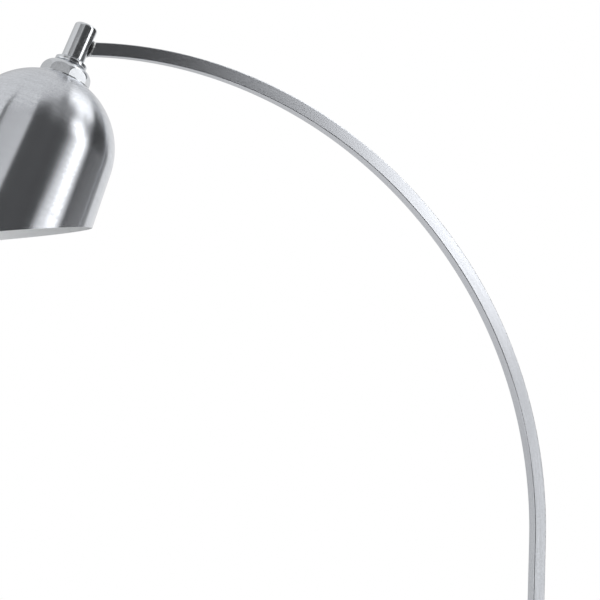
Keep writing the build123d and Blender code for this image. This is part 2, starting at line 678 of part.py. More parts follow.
with BuildPart() as seat_washer:
    with BuildSketch(NECK.offset(LAND_S)):
        Circle(SEAT_R)
        Circle(PIPE_R + SLIP / 2, mode=Mode.SUBTRACT)
    extrude(amount=SEAT_H)
seat_washer.part.label = "seat_washer"
export_step(seat_washer.part, "parts/seat_washer.step")

# Shade: dome, opening skirt, slanted rim
flare = radians(FLARE)
SKIRT_END = -420.0


def dome_outline(radius):
    """Corner points of the dome and skirt for a given dome radius: land edge, mid arc, tangent, end."""
    top = LAND_S - (DOME_R - radius)
    a0 = atan2(top, (radius**2 - top**2) ** 0.5)
    mid = (a0 + flare) / 2
    tangent = (radius * cos(flare), radius * sin(flare))
    end = (tangent[0] + (tangent[1] - SKIRT_END) * tan(flare), SKIRT_END)
    return (
        (radius * cos(a0), top),
        (radius * cos(mid), radius * sin(mid)),
        tangent,
        end,
    )


with BuildPart() as shade:
    for radius, how in ((DOME_R, Mode.ADD), (DOME_R - DOME_WALL, Mode.SUBTRACT)):
        land, mid, tangent, end = dome_outline(radius)
        with BuildSketch(NECK_SIDE):
            with BuildLine():
                Line((0, land[1]), land)
                ThreePointArc(land, mid, tangent)
                Line(tangent, end)
                Polyline(end, (0, end[1]), (0, land[1]))
            make_face()
        revolve(axis=NECK_AXIS, mode=how)
    split(bisect_by=RIM, keep=Keep.TOP)
    with BuildSketch(NECK.offset(LAND_S - 5.0)):
        Circle(PIPE_R + SLIP / 2)
    extrude(amount=10.0, mode=Mode.SUBTRACT)
shade.part.label = "shade"
export_step(shade.part, "parts/shade.step")

with BuildPart() as inner_washer:
    with BuildSketch(NECK.offset(INWASH_S)):
        Circle(INNER_R)
        Circle(PIPE_R + SLIP / 2, mode=Mode.SUBTRACT)
    extrude(amount=INNER_H)
inner_washer.part.label = "inner_washer"
export_step(inner_washer.part, "parts/inner_washer.step")

with BuildPart() as lock_nut:
    with BuildSketch(NECK.offset(LOCK_S)):
        RegularPolygon(PIPE_R + 3.5, 6, major_radius=False)
        Circle(PIPE_R + SLIP / 2, mode=Mode.SUBTRACT)
    extrude(amount=LOCK_H)
lock_nut.part.label = "lock_nut"
export_step(lock_nut.part, "parts/lock_nut.step")

# Lamp holder
KNOB = Plane(origin=NECK.offset(KNOB_S).origin, x_dir=AXIS_SIDE, z_dir=(0, -1, 0))
with BuildPart() as holder_cap:
    with BuildSketch(NECK_SIDE):
        with BuildLine():
            Polyline(
                (HOLDER_R - 2.0, CORE_S),
                (HOLDER_R, CORE_S),
                (HOLDER_R, CORE_S + 13.0),
                (HOLDER_R - 6.0, CORE_S + 20.0),
                (PIPE_R + 4.0, CORE_S + 20.0),
                (PIPE_R + 4.0, LOCK_S),
                (PIPE_R + SLIP / 2, LOCK_S),
                (PIPE_R + SLIP / 2, CORE_S + 17.5),
                (HOLDER_R - 8.5, CORE_S + 17.5),
                (HOLDER_R - 2.0, CORE_S + 12.0),
                close=True,
            )
        make_face()
    revolve(axis=NECK_AXIS)
    with BuildSketch(KNOB):
        Circle(SPINDLE_R + RUN)
    extrude(amount=HOLDER_R + 5.0, mode=Mode.SUBTRACT)
holder_cap.part.label = "holder_cap"
export_step(holder_cap.part, "parts/holder_cap.step")

with BuildPart() as holder_shell:
    with BuildSketch(NECK_SIDE):
        with BuildLine():
            Polyline(
                (HOLDER_R - 1.5, CORE_S),
                (HOLDER_R, CORE_S),
                (HOLDER_R, CORE_S - HOLDER_L + 2.0),
                (HOLDER_R - 1.5, CORE_S - HOLDER_L),
                (SHELL_R + SLIP, CORE_S - HOLDER_L),
                (SHELL_R + SLIP, CORE_S - CORE_H),
                (HOLDER_R - 1.5, CORE_S - CORE_H),
                close=True,
            )
        make_face()
    revolve(axis=NECK_AXIS)
holder_shell.part.label = "holder_shell"
export_step(holder_shell.part, "parts/holder_shell.step")

with BuildPart() as holder_core:
    with BuildSketch(NECK.offset(CORE_S - CORE_H)):
        Circle(HOLDER_R - 1.5 - SLIP)
    extrude(amount=CORE_H)
holder_core.part.label = "holder_core"
export_step(holder_core.part, "parts/holder_core.step")

with BuildPart() as screw_shell:
    with BuildSketch(NECK.offset(CORE_S - HOLDER_L + 4.0)):
        Circle(SHELL_R)
        Circle(THREAD_R + SHELL_GAP, mode=Mode.SUBTRACT)
    extrude(amount=HOLDER_L - 4.0 - CORE_H)
screw_shell.part.label = "screw_shell"
export_step(screw_shell.part, "parts/screw_shell.step")

with BuildPart() as centre_contact:
    with BuildSketch(NECK.offset(CONTACT_S)):
        Circle(CONTACT_R)
    extrude(amount=CONTACT_H)
centre_contact.part.label = "centre_contact"
export_step(centre_contact.part, "parts/centre_contact.step")

# Turn switch on the holder
with BuildPart() as switch_spindle:
    with BuildSketch(KNOB.offset(HOLDER_R - SPINDLE_IN)):
        Circle(SPINDLE_R)
    extrude(amount=SPINDLE_IN + SPINDLE_OUT)
    with BuildSketch(KNOB.offset(HOLDER_R - SPINDLE_IN + 2.4)):
        Circle(2 * SPINDLE_R)
    extrude(amount=2.2)
switch_spindle.part.label = "switch_spindle"
export_step(switch_spindle.part, "parts/switch_spindle.step")

with BuildPart() as switch_knob:
    with BuildSketch(KNOB.offset(HOLDER_R + 2.0)):
        Circle(KNOB_R)
    extrude(amount=5.0)
    with BuildSketch(KNOB.offset(HOLDER_R + 7.0)):
        SlotOverall(KNOB_L, KNOB_W)
    extrude(amount=KNOB_H)
    fillet(switch_knob.faces().sort_by(Axis.Y)[0].edges(), radius=1.2)
    with BuildSketch(KNOB.offset(HOLDER_R)):
        Circle(SPINDLE_R + SLIP / 2)
    extrude(amount=SPINDLE_OUT + SLIP, mode=Mode.SUBTRACT)
switch_knob.part.label = "switch_knob"
export_step(switch_knob.part, "parts/switch_knob.step")

# Bulb
with BuildPart() as bulb_cap:
    with BuildSketch(NECK_SIDE):
        with BuildLine():
            Polyline(
                (9.0, BULB_TOP - 3.0),
                (10.0, BULB_TOP - 3.0),
                (THREAD_R, BULB_TOP - 6.0),
                (THREAD_R, CAP_END),
                (THREAD_R - 0.6, CAP_END),
                (THREAD_R - 0.6, BULB_TOP - 6.3),
                (9.0, BULB_TOP - 4.0),
                close=True,
            )
        make_face()
    revolve(axis=NECK_AXIS)
bulb_cap.part.label = "bulb_cap"
export_step(bulb_cap.part, "parts/bulb_cap.step")

with BuildPart() as bulb_insulator:
    with BuildSketch(NECK.offset(BULB_TOP - 4.0)):
        Circle(9.0)
    extrude(amount=3.0)
bulb_insulator.part.label = "bulb_insulator"
export_step(bulb_insulator.part, "parts/bulb_insulator.step")

with BuildPart() as bulb_contact:
    with BuildSketch(NECK.offset(BULB_TOP - 1.0)):
        Circle(4.2)
    extrude(amount=1.0)
bulb_contact.part.label = "bulb_contact"
export_step(bulb_contact.part, "parts/bulb_contact.step")

with BuildPart() as bulb_glass:
    for wall, how in ((0.0, Mode.ADD), (GLASS_WALL, Mode.SUBTRACT)):
        rg = GLASS_R - wall
        neck_r = THREAD_R - 0.7 - wall
        with BuildSketch(NECK_SIDE):
            with BuildLine():
                Line((0, CAP_END + 6.0), (neck_r, CAP_END + 6.0))
                Line((neck_r, CAP_END + 6.0), (neck_r, CAP_END - 3.0))
                Spline(
                    (neck_r, CAP_END - 3.0),
                    (rg * cos(radians(38)), GLASS_S + rg * sin(radians(38))),
                    tangents=((0, -1), (sin(radians(38)), -cos(radians(38)))),
                )
                ThreePointArc(
                    (rg * cos(radians(38)), GLASS_S + rg * sin(radians(38))),
                    (rg * cos(radians(-20)), GLASS_S + rg * sin(radians(-20))),
                    (0, GLASS_S - rg),
                )
                Line((0, GLASS_S - rg), (0, CAP_END + 6.0))
            make_face()
        revolve(axis=NECK_AXIS, mode=how)
bulb_glass.part.label = "bulb_glass"
export_step(bulb_glass.part, "parts/bulb_glass.step")

# Inner leads: base to swivel, swivel to neck, neck to lamp holder
LEAD_R1 = ARC_R1 + LEAD_OFF
LEAD_R2 = ARC_R2 + LEAD_OFF
from_x = PIVOT_X + LEAD_BEND * sin(tilt) - ARC2_X
from_z = PIVOT_Z + LEAD_BEND * cos(tilt) - ARC2_Z
along = from_x * cos(tilt) - from_z * sin(tilt)
reach = along**2 - from_x**2 - from_z**2 + (LEAD_R2 + LEAD_BEND) ** 2
STEM_JOIN = -along - reach**0.5
join_x = from_x + STEM_JOIN * cos(tilt)
join_z = from_z - STEM_JOIN * sin(tilt)
LEAD_STOP = degrees(atan2(join_z, join_x))
TURN_TOP = WIRE_Z + LEAD_TURN * (1 + sin(lean))
with BuildPart() as arm_lead:
    with BuildLine(Plane.XZ) as lead_path:
        low = post_point(TURN_TOP + LEAD_OFF * sin(lean), LEAD_OFF)
        feed = Line((BLOCK_X + 2.0, WIRE_Z), (low[0] + LEAD_TURN * cos(lean), WIRE_Z))
        turn = JernArc(start=feed @ 1, tangent=feed % 1, radius=LEAD_TURN, arc_size=-90.0 - LEAN)
        up_end = (POST_TOP_X + LEAD_OFF * cos(lean), start_z - LEAD_OFF * sin(lean))
        climb = Line(turn @ 1, up_end)
        lead1 = JernArc(start=up_end, tangent=POST_TANGENT, radius=LEAD_R1, arc_size=ARC_TURN1 + LEAN)
        lead2 = JernArc(start=lead1 @ 1, tangent=lead1 % 1, radius=LEAD_R2, arc_size=LEAD_STOP - ARC_TURN1)
        sweep_in = 90.0 - TILT - LEAD_STOP
        swing = JernArc(start=lead2 @ 1, tangent=lead2 % 1, radius=LEAD_BEND, arc_size=sweep_in)
        Line(swing @ 1, (PIVOT_X + STEM_IN * cos(tilt), PIVOT_Z - STEM_IN * sin(tilt)))
    with BuildSketch(Plane(origin=(BLOCK_X + 2.0, 0, WIRE_Z), x_dir=(0, 1, 0), z_dir=(-1, 0, 0))):
        Circle(LEAD_R)
    sweep(path=lead_path.wires()[0])
arm_lead.part.label = "arm_lead"
export_step(arm_lead.part, "parts/arm_lead.step")

TURN_R = STEM_IN - FREE
with BuildPart() as knuckle_lead:
    with BuildLine(NECK_SIDE) as knuckle_path:
        hook = JernArc(start=(TURN_R, PIVOT_S), tangent=(-1, 0), radius=TURN_R, arc_size=90)
        Line(hook @ 1, (0, PIPE_TOP + 2 * FREE))
    with BuildSketch(SWIVEL.offset(TURN_R)):
        Circle(LEAD_R)
    sweep(path=knuckle_path.wires()[0])
knuckle_lead.part.label = "knuckle_lead"
export_step(knuckle_lead.part, "parts/knuckle_lead.step")

with BuildPart() as holder_lead:
    with BuildSketch(NECK.offset(CORE_S)):
        Circle(LEAD_R)
    extrude(amount=PIPE_TOP + FREE - CORE_S)
holder_lead.part.label = "holder_lead"
export_step(holder_lead.part, "parts/holder_lead.step")
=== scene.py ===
"""Dresses an arc floor lamp: brushed arch and post, spun shade, polished neck, holder and weighted base."""

import logging
import math
from dataclasses import dataclass
from enum import Enum
from typing import Any, ClassVar, Sequence

import bmesh
import bpy
from mathutils import Matrix, Vector


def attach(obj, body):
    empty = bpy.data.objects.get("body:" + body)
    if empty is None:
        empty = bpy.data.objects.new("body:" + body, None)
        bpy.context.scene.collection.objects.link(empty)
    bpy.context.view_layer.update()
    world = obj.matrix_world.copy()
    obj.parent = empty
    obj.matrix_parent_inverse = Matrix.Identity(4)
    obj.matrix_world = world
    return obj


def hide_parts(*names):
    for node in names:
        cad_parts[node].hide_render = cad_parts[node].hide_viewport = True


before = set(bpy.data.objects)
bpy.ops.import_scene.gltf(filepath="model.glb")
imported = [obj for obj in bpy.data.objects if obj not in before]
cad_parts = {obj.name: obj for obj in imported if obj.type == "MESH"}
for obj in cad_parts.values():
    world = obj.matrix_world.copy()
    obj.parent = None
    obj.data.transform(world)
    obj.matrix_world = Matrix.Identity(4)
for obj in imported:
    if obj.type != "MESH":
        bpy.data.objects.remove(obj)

log = logging.getLogger("arc_lamp")
Colour = tuple[float, float, float]
Point2 = tuple[float, float]
Point3 = tuple[float, float, float]
Seat = tuple[Vector, Vector]
Node = bpy.types.Node
Socket = bpy.types.NodeSocket
Material = bpy.types.Material
Mesh = bpy.types.Mesh
Piece = bpy.types.Object
Work = bmesh.types.BMesh
Edges = list[bmesh.types.BMEdge]
GRAIN_MAP = "grain"
SPIN_SEED = 7
SIXTH_TURN = math.pi / 3
STEEL: Colour = (0.69, 0.71, 0.75)
UP = Vector((0.0, 0.0, 1.0))


class Lay(Enum):
    """Which way the fine lines of a metal run."""

    MAP = "along U of the piece's own map"
    ROUND = "in circles about the upright axis through the origin"


class Body(Enum):
    """Bodies that the built pieces ride on."""

    STAND = "stand"
    HEAD = "head"
    SWITCH = "switch"
    BULB = "bulb"


class Stand(Enum):
    """How a studio board stands."""

    ROUND = "as a dome about the lamp"
    UPRIGHT = "facing the lamp"
    FLAT = "on the floor"


class NodeKit:
    """Adds and links nodes in one tree."""

    def __init__(self, tree: bpy.types.NodeTree) -> None:
        """Keeps the tree that the nodes go into."""
        self.tree = tree

    def feed(self, node: Node, inputs: dict[Any, Any]) -> None:
        """Links or sets a node's inputs.

        Args:
            node: the node.
            inputs: values or output sockets by input name or number.
        """
        for key, value in inputs.items():
            if isinstance(value, Socket):
                self.tree.links.new(value, node.inputs[key])
            else:
                node.inputs[key].default_value = value

    def add(self, kind: str, inputs: dict[Any, Any] | None = None, **settings: Any) -> Node:
        """Adds one node.

        Args:
            kind: Blender's node type name.
            inputs: values or output sockets by input name or number.
            settings: node properties to set first.

        Returns:
            The new node.
        """
        node = self.tree.nodes.new(kind)
        for name, value in settings.items():
            setattr(node, name, value)
        self.feed(node, inputs or {})
        return node

    def math(self, operation: str, first: Any, second: Any = 0.0) -> Socket:
        """Adds a math node and returns its output."""
        return self.add("ShaderNodeMath", {0: first, 1: second}, operation=operation).outputs[0]

    def mix(self, first: Socket, second: Socket, share: float) -> Socket:
        """Adds two values, the first weighted by a share and the second by the rest."""
        rest = self.math("MULTIPLY", second, 1 - share)
        return self.math("ADD", self.math("MULTIPLY", first, share), rest)

    def place(self) -> Socket:
        """Returns the piece's own coordinates."""
        return self.add("ShaderNodeTexCoord").outputs["Object"]

    def noise(self, place: Socket, scale: float, detail: float, roughness: float = 0.5) -> Socket:
        """Adds noise and returns its value."""
        values = {"Vector": place, "Scale": scale, "Detail": detail, "Roughness": roughness}
        return self.add("ShaderNodeTexNoise", values).outputs["Fac"]

    def blend(self, factor: Socket, dark: Colour, light: Colour) -> Socket:
        """Mixes two colours by a factor and returns the colour."""
        # Sockets 6, 7 and 2 are the node's colours.
        inputs = {0: factor, 6: (*dark, 1.0), 7: (*light, 1.0)}
        return self.add("ShaderNodeMix", inputs, data_type="RGBA").outputs[2]

    def relief(self, height: Socket, strength: float, depth: float) -> Socket:
        """Turns a height into a bumped normal."""
        values = {"Strength": strength, "Distance": depth, "Height": height}
        return self.add("ShaderNodeBump", values).outputs["Normal"]


def bare(owner: Any) -> NodeKit:
    """Empties the node tree of a material or world and returns a kit for it."""
    owner.use_nodes = True
    owner.node_tree.nodes.clear()
    return NodeKit(owner.node_tree)


def new_material(name: str) -> tuple[Material, NodeKit, Node]:
    """Makes an empty material with a Principled shader.

    Args:
        name: material name.

    Returns:
        The material, a kit for its tree and the shader node.
    """
    material = bpy.data.materials.new(name)
    kit = bare(material)
    shader = kit.add("ShaderNodeBsdfPrincipled")
    kit.add("ShaderNodeOutputMaterial", {"Surface": shader.outputs["BSDF"]})
    return material, kit, shader


@dataclass(frozen=True)
class Finish:
    """Colour and roughness that vary with a grain, which each kind of finish draws in its own way."""

    name: str
    tint: Colour
    roughness: float
    contrast: float
    swing: ClassVar[float] = 0.0

    def material(self) -> Material:
        """Builds the material.

        Returns:
            A material whose tone and roughness follow the grain.
        """
        material, kit, shader = new_material(self.name)
        grain = self._grain(kit, shader)
        dark, light = (
            tuple(min(1.0, channel * share) for channel in self.tint)
            for share in (1 - self.contrast, 1 + self.contrast)
        )
        low, high = (min(1.0, self.roughness * share) for share in (1 - self.swing, 1 + self.swing))
        rough = kit.add("ShaderNodeMapRange", {"Value": grain, "To Min": low, "To Max": high})
        kit.feed(shader, {"Base Color": kit.blend(grain, dark, light), "Roughness": rough.outputs["Result"]})
        return material

    def _grain(self, kit: NodeKit, shader: Node) -> Socket:
        """Sets the rest of the shader and returns the grain, from 0 to 1."""
        raise NotImplementedError


@dataclass(frozen=True)
class BrushedMetal(Finish):
    """Metal with fine parallel lines over a faint mottle, sizes in metres."""

    anisotropy: float
    line_width: float
    line_length: float
    lay: Lay = Lay.MAP
    mottle: float = 0.0026
    broad_width: float = 7.0
    broad_length: float = 2.5
    fine_share: float = 0.65
    line_share: float = 0.6
    spread: Point2 = (0.3, 0.7)
    relief: float = 0.00003
    quarter_turn: float = 0.25
    mean_radius: float = 0.12
    swing: ClassVar[float] = -0.16

    def _grain(self, kit: NodeKit, shader: Node) -> Socket:
        """Lays the lines, their relief and their sheen.

        Args:
            kit: tree to add to.
            shader: the shader node.

        Returns:
            The lines and the mottle together, from 0 to 1.
        """
        axes = self._map_axes(kit) if self.lay is Lay.MAP else self._round_axes(kit)
        along, across, tangent = axes
        fine = self._lines(kit, along, across, wide=1.0, long=1.0, detail=3.0)
        broad = self._lines(kit, along, across, self.broad_width, self.broad_length, detail=1.0)
        mottle = kit.noise(kit.place(), 1 / self.mottle, detail=2.0)
        grain = kit.mix(kit.mix(fine, broad, self.fine_share), mottle, self.line_share)
        values = {
            "Normal": kit.relief(fine, strength=0.06, depth=self.relief),
            "Tangent": tangent,
            "Metallic": 1.0,
            "Anisotropic": self.anisotropy,
            "Anisotropic Rotation": self.quarter_turn,
        }
        kit.feed(shader, values)
        low, high = self.spread
        limits = {"Value": grain, "From Min": low, "From Max": high}
        return kit.add("ShaderNodeMapRange", limits, clamp=True).outputs["Result"]

    def _map_axes(self, kit: NodeKit) -> tuple[Socket, ...]:
        """Reads the lines' directions from the piece's map.

        Args:
            kit: tree to add to.

        Returns:
            The way along, the way across and the tangent.
        """
        place = kit.add("ShaderNodeUVMap", uv_map=GRAIN_MAP)
        parts = kit.add("ShaderNodeSeparateXYZ", {0: place.outputs["UV"]}).outputs
        tangent = kit.add("ShaderNodeTangent", direction_type="UV_MAP", uv_map=GRAIN_MAP)
        return parts["X"], parts["Y"], tangent.outputs["Tangent"]

    def _round_axes(self, kit: NodeKit) -> tuple[Socket, ...]:
        """Works out the lines' directions in circles about the upright axis.

        Args:
            kit: tree to add to.

        Returns:
            The way along, the way across and the tangent.
        """
        parts = kit.add("ShaderNodeSeparateXYZ", {0: kit.place()}).outputs
        squares = [kit.math("MULTIPLY", parts[axis], parts[axis]) for axis in "XY"]
        radius = kit.math("SQRT", kit.math("ADD", *squares))
        turn = kit.math("ARCTAN2", parts["Y"], parts["X"])
        across = kit.math("SUBTRACT", radius, parts["Z"])
        tangent = kit.add("ShaderNodeTangent", direction_type="RADIAL", axis="Z")
        return kit.math("MULTIPLY", turn, self.mean_radius), across, tangent.outputs["Tangent"]

    def _lines(
        self, kit: NodeKit, along: Socket, across: Socket, wide: float, long: float, detail: float
    ) -> Socket:
        """Adds noise drawn out along the lines.

        Args:
            kit: tree to add to.
            along: metres along the lines.
            across: metres across the lines.
            wide: width of a line, in line widths.
            long: length of a line, in line lengths.
            detail: octaves of finer lines.

        Returns:
            The noise value's socket.
        """
        ways = {
            "X": kit.math("DIVIDE", along, self.line_length * long),
            "Y": kit.math("DIVIDE", across, self.line_width * wide),
        }
        place = kit.add("ShaderNodeCombineXYZ", ways).outputs[0]
        return kit.noise(place, scale=1.0, detail=detail, roughness=0.6)


@dataclass(frozen=True)
class PlainMetal(Finish):
    """Polished, plated or cast metal with faint clouding, sizes in metres."""

    cloud: float
    relief: float = 0.0
    swing: ClassVar[float] = 0.25

    def _grain(self, kit: NodeKit, shader: Node) -> Socket:
        """Clouds the metal.

        Args:
            kit: tree to add to.
            shader: the shader node.

        Returns:
            The clouds, from 0 to 1.
        """
        grey = kit.noise(kit.place(), 1 / self.cloud, detail=4.0, roughness=0.6)
        kit.feed(shader, {"Metallic": 1.0})
        if self.relief:
            kit.feed(shader, {"Normal": kit.relief(grey, strength=0.5, depth=self.relief)})
        return grey


@dataclass(frozen=True)
class Coat(Finish):
    """Paint, moulding, rubber or glaze with a fine surface grain, sizes in metres."""

    grain: float
    relief: float
    gloss: float = 0.0
    broad: float = 0.06
    swing: ClassVar[float] = 0.15

    def _grain(self, kit: NodeKit, shader: Node) -> Socket:
        """Lays the grain, its relief and the gloss.

        Args:
            kit: tree to add to.
            shader: the shader node.

        Returns:
            Fine and broad grain together, from 0 to 1.
        """
        place = kit.place()
        fine = kit.noise(place, 1 / self.grain, detail=3.0, roughness=0.55)
        broad = kit.noise(place, self.broad / self.grain, detail=2.0)
        normal = kit.relief(fine, strength=0.4, depth=self.relief)
        kit.feed(shader, {"Normal": normal, "Coat Weight": self.gloss})
        return kit.mix(fine, broad, share=0.5)


@dataclass(frozen=True)
class Finishes:
    """Every finish on the lamp."""

    tube: Finish = BrushedMetal("brushed_tube", STEEL, 0.215, 0.12, 0.9, 0.0009, 0.09)
    spun: Finish = BrushedMetal("spun_shade", STEEL, 0.22, 0.15, 0.95, 0.0009, 0.06)
    cover: Finish = BrushedMetal("brushed_cover", STEEL, 0.28, 0.06, 0.85, 0.0009, 0.06, Lay.ROUND)
    chrome: Finish = PlainMetal("polished_chrome", (0.74, 0.76, 0.79), 0.19, 0.03, 0.02)
    satin: Finish = PlainMetal("satin_steel", (0.68, 0.70, 0.73), 0.22, 0.05, 0.004, 0.00002)
    plated: Finish = PlainMetal("zinc_plate", (0.62, 0.63, 0.63), 0.36, 0.10, 0.006, 0.00002)
    brass: Finish = PlainMetal("plain_brass", (0.78, 0.57, 0.26), 0.26, 0.08, 0.008)
    bulb_metal: Finish = PlainMetal("bulb_cap_metal", (0.78, 0.78, 0.77), 0.30, 0.06, 0.005)
    iron: Finish = Coat("black_casting", (0.030, 0.030, 0.031), 0.62, 0.25, 0.0016, 0.0004)
    rubber: Finish = Coat("black_rubber", (0.020, 0.020, 0.020), 0.78, 0.20, 0.0008, 0.0001)
    moulding: Finish = Coat("black_moulding", (0.022, 0.022, 0.023), 0.38, 0.15, 0.0006, 0.00004)
    sheath: Finish = Coat("black_sheath", (0.028, 0.028, 0.028), 0.55, 0.15, 0.0008, 0.00005)
    glaze: Finish = Coat("white_glaze", (0.84, 0.83, 0.79), 0.16, 0.02, 0.0020, 0.00002, 0.5)
    inside: Finish = Coat("white_lacquer", (0.78, 0.79, 0.80), 0.36, 0.02, 0.0012, 0.00003)
    opal: Finish = Coat("opal_glass", (0.88, 0.87, 0.84), 0.14, 0.01, 0.0200, 0.00001, 0.6)


def put(name: str, data: Any) -> Piece:
    """Links a mesh, lamp or camera into the scene as an object."""
    made = bpy.data.objects.new(name, data)
    bpy.context.scene.collection.objects.link(made)
    return made


def bake(made: Piece) -> None:
    """Applies an object's modifiers to its mesh.

    Args:
        made: the object.
    """
    bpy.context.view_layer.update()
    graph = bpy.context.evaluated_depsgraph_get()
    seen = made.evaluated_get(graph)
    mesh = bpy.data.meshes.new_from_object(seen, preserve_all_data_layers=True, depsgraph=graph)
    made.modifiers.clear()
    made.data = mesh


def smooth(mesh: Mesh, sharp: float = 32.0) -> None:
    """Smooths a mesh, apart from edges past an angle in degrees."""
    mesh.shade_smooth()
    mesh.set_sharp_from_angle(angle=math.radians(sharp))


def weighted(made: Piece, sharp: float = 40.0, weight: int = 90) -> None:
    """Smooths a piece while its flats stay flat, and applies the result.

    Args:
        made: the piece.
        sharp: angle in degrees from which an edge stays sharp.
        weight: how far large faces lead, from 1 to 100.
    """
    smooth(made.data, sharp)
    step = made.modifiers.new("flats", "WEIGHTED_NORMAL")
    step.keep_sharp = True
    step.weight = weight
    bake(made)


def meshed(work: Work, mesh: Mesh) -> Mesh:
    """Writes a working mesh out, frees it and returns the mesh."""
    work.to_mesh(mesh)
    work.free()
    return mesh


def ring(radius: float, height: float, sides: int = 0, around: int = 48) -> list[Vector]:
    """Returns points round the Z axis.

    Args:
        radius: radius of the circle, or distance to the flats.
        height: height of the ring.
        sides: number of flats, or 0 for a circle.
        around: number of points.

    Returns:
        The points in order.
    """
    points = []
    for i in range(around):
        angle = 2 * math.pi * i / around
        half = math.pi / sides if sides else 1.0
        reach = radius / math.cos((angle + half) % (2 * half) - half) if sides else radius
        points.append(Vector((reach * math.cos(angle), reach * math.sin(angle), height)))
    return points


def stacked(rings: Sequence[Sequence[Vector]]) -> Mesh:
    """Skins rings of points into a closed mesh.

    Args:
        rings: rings of one count in order; a ring of one point closes an end.

    Returns:
        The mesh, with its faces looking outwards.
    """
    work = bmesh.new()
    rows = [[work.verts.new(point) for point in points] for points in rings]
    for first, second in zip(rows, rows[1:]):
        count = max(len(first), len(second))
        for i in range(count):
            j = (i + 1) % count
            pairs = ((first, i), (first, j), (second, j), (second, i))
            work.faces.new(list(dict.fromkeys(row[k % len(row)] for row, k in pairs)))
    bmesh.ops.recalc_face_normals(work, faces=work.faces[:])
    return meshed(work, bpy.data.meshes.new("stacked"))


@dataclass(frozen=True)
class SocketScrew:
    """Button-head screw with a six-sided socket, its seat at 0 and its head up, sizes in metres."""

    head: float
    height: float
    shank: float
    length: float

    def mesh(self) -> Mesh:
        """Builds the screw and returns its closed mesh."""
        shoulder = ((1.0, 0.0), (1.0, 0.15), (0.95, 0.42), (0.85, 0.72), (0.70, 0.93), (0.58, 1.0))
        rings = [
            [-self.length * UP],
            ring(0.8 * self.shank, -self.length),
            ring(self.shank, 0.2 * self.shank - self.length),
            ring(self.shank, 0.0),
        ]
        rings += [ring(out * self.head, up * self.height) for out, up in shoulder]
        rings += [ring(0.38 * self.head, up * self.height, 6) for up in (1.0, 0.3)]
        return stacked(rings + [[0.2 * self.height * UP]])


@dataclass(frozen=True)
class Foot:
    """Rubber foot with a rounded edge and a dished tread, its seat at 0 and its tread up, sizes in metres."""

    radius: float
    height: float

    def mesh(self) -> Mesh:
        """Builds the foot and returns its closed mesh."""
        shape = ((1.0, 0.0), (1.0, 0.65), (0.965, 0.87), (0.89, 1.0), (0.70, 1.0), (0.64, 0.90))
        rings = [ring(out * self.radius, up * self.height) for out, up in shape]
        return stacked([[Vector()], *rings, [0.88 * self.height * UP]])


@dataclass(frozen=True)
class Rib:
    """Rounded bar along X, half sunk in the face it stands on, sizes in metres."""

    length: float
    width: float
    height: float

    def mesh(self) -> Mesh:
        """Builds the rib and returns its closed mesh."""
        half = self.length / 2
        rows = [[Vector((-half, 0, 0))]]
        for side in (-1, 1):
            for turn in (60, 30, 0)[::-side]:
                way = side * (half - self.width / 2 * (1 - math.sin(math.radians(turn))))
                rows.append(self._section(way, math.cos(math.radians(turn))))
        return stacked([*rows, [Vector((half, 0, 0))]])

    def _section(self, way: float, share: float) -> list[Vector]:
        """Returns the oval section at a way along the rib, drawn in by a share."""
        turns = [2 * math.pi * i / 16 for i in range(16)]
        wide, tall = share * self.width / 2, share * self.height
        return [Vector((way, wide * math.cos(turn), tall * math.sin(turn))) for turn in turns]


class Tree:
    """Geometry Nodes tree with named inputs that ends in Realize Instances and Set Material."""

    def __init__(self, name: str, **inputs: str) -> None:
        """Makes the tree and its sockets.

        Args:
            name: tree name.
            inputs: kind of each named input, in order.
        """
        self.tree = bpy.data.node_groups.new(name, "GeometryNodeTree")
        for title, kind in {**inputs, "Finish": "Material"}.items():
            self.tree.interface.new_socket(title, in_out="INPUT", socket_type="NodeSocket" + kind)
        self.tree.interface.new_socket("Result", in_out="OUTPUT", socket_type="NodeSocketGeometry")
        self.kit = NodeKit(self.tree)
        self.given = self.kit.add("NodeGroupInput").outputs

    def close(self, geometry: Socket) -> None:
        """Ends the tree in real faces with their finish."""
        real = self.kit.add("GeometryNodeRealizeInstances", {0: geometry}).outputs[0]
        named = self.kit.add("GeometryNodeSetMaterial", {"Geometry": real, "Material": self.given["Finish"]})
        self.kit.add("NodeGroupOutput", {0: named.outputs[0]})

    def grow(self, name: str, mesh: Mesh, values: dict[str, Any]) -> Piece:
        """Runs the tree on a mesh.

        Args:
            name: piece name.
            mesh: mesh that the tree starts from.
            values: input values by name.

        Returns:
            An object holding the plain result.
        """
        made = put(name, mesh)
        step = made.modifiers.new(self.tree.name, "NODES")
        step.node_group = self.tree
        for socket in self.tree.interface.items_tree:
            if socket.in_out == "INPUT" and socket.name in values:
                step[socket.identifier] = values[socket.name]
        bake(made)
        return made


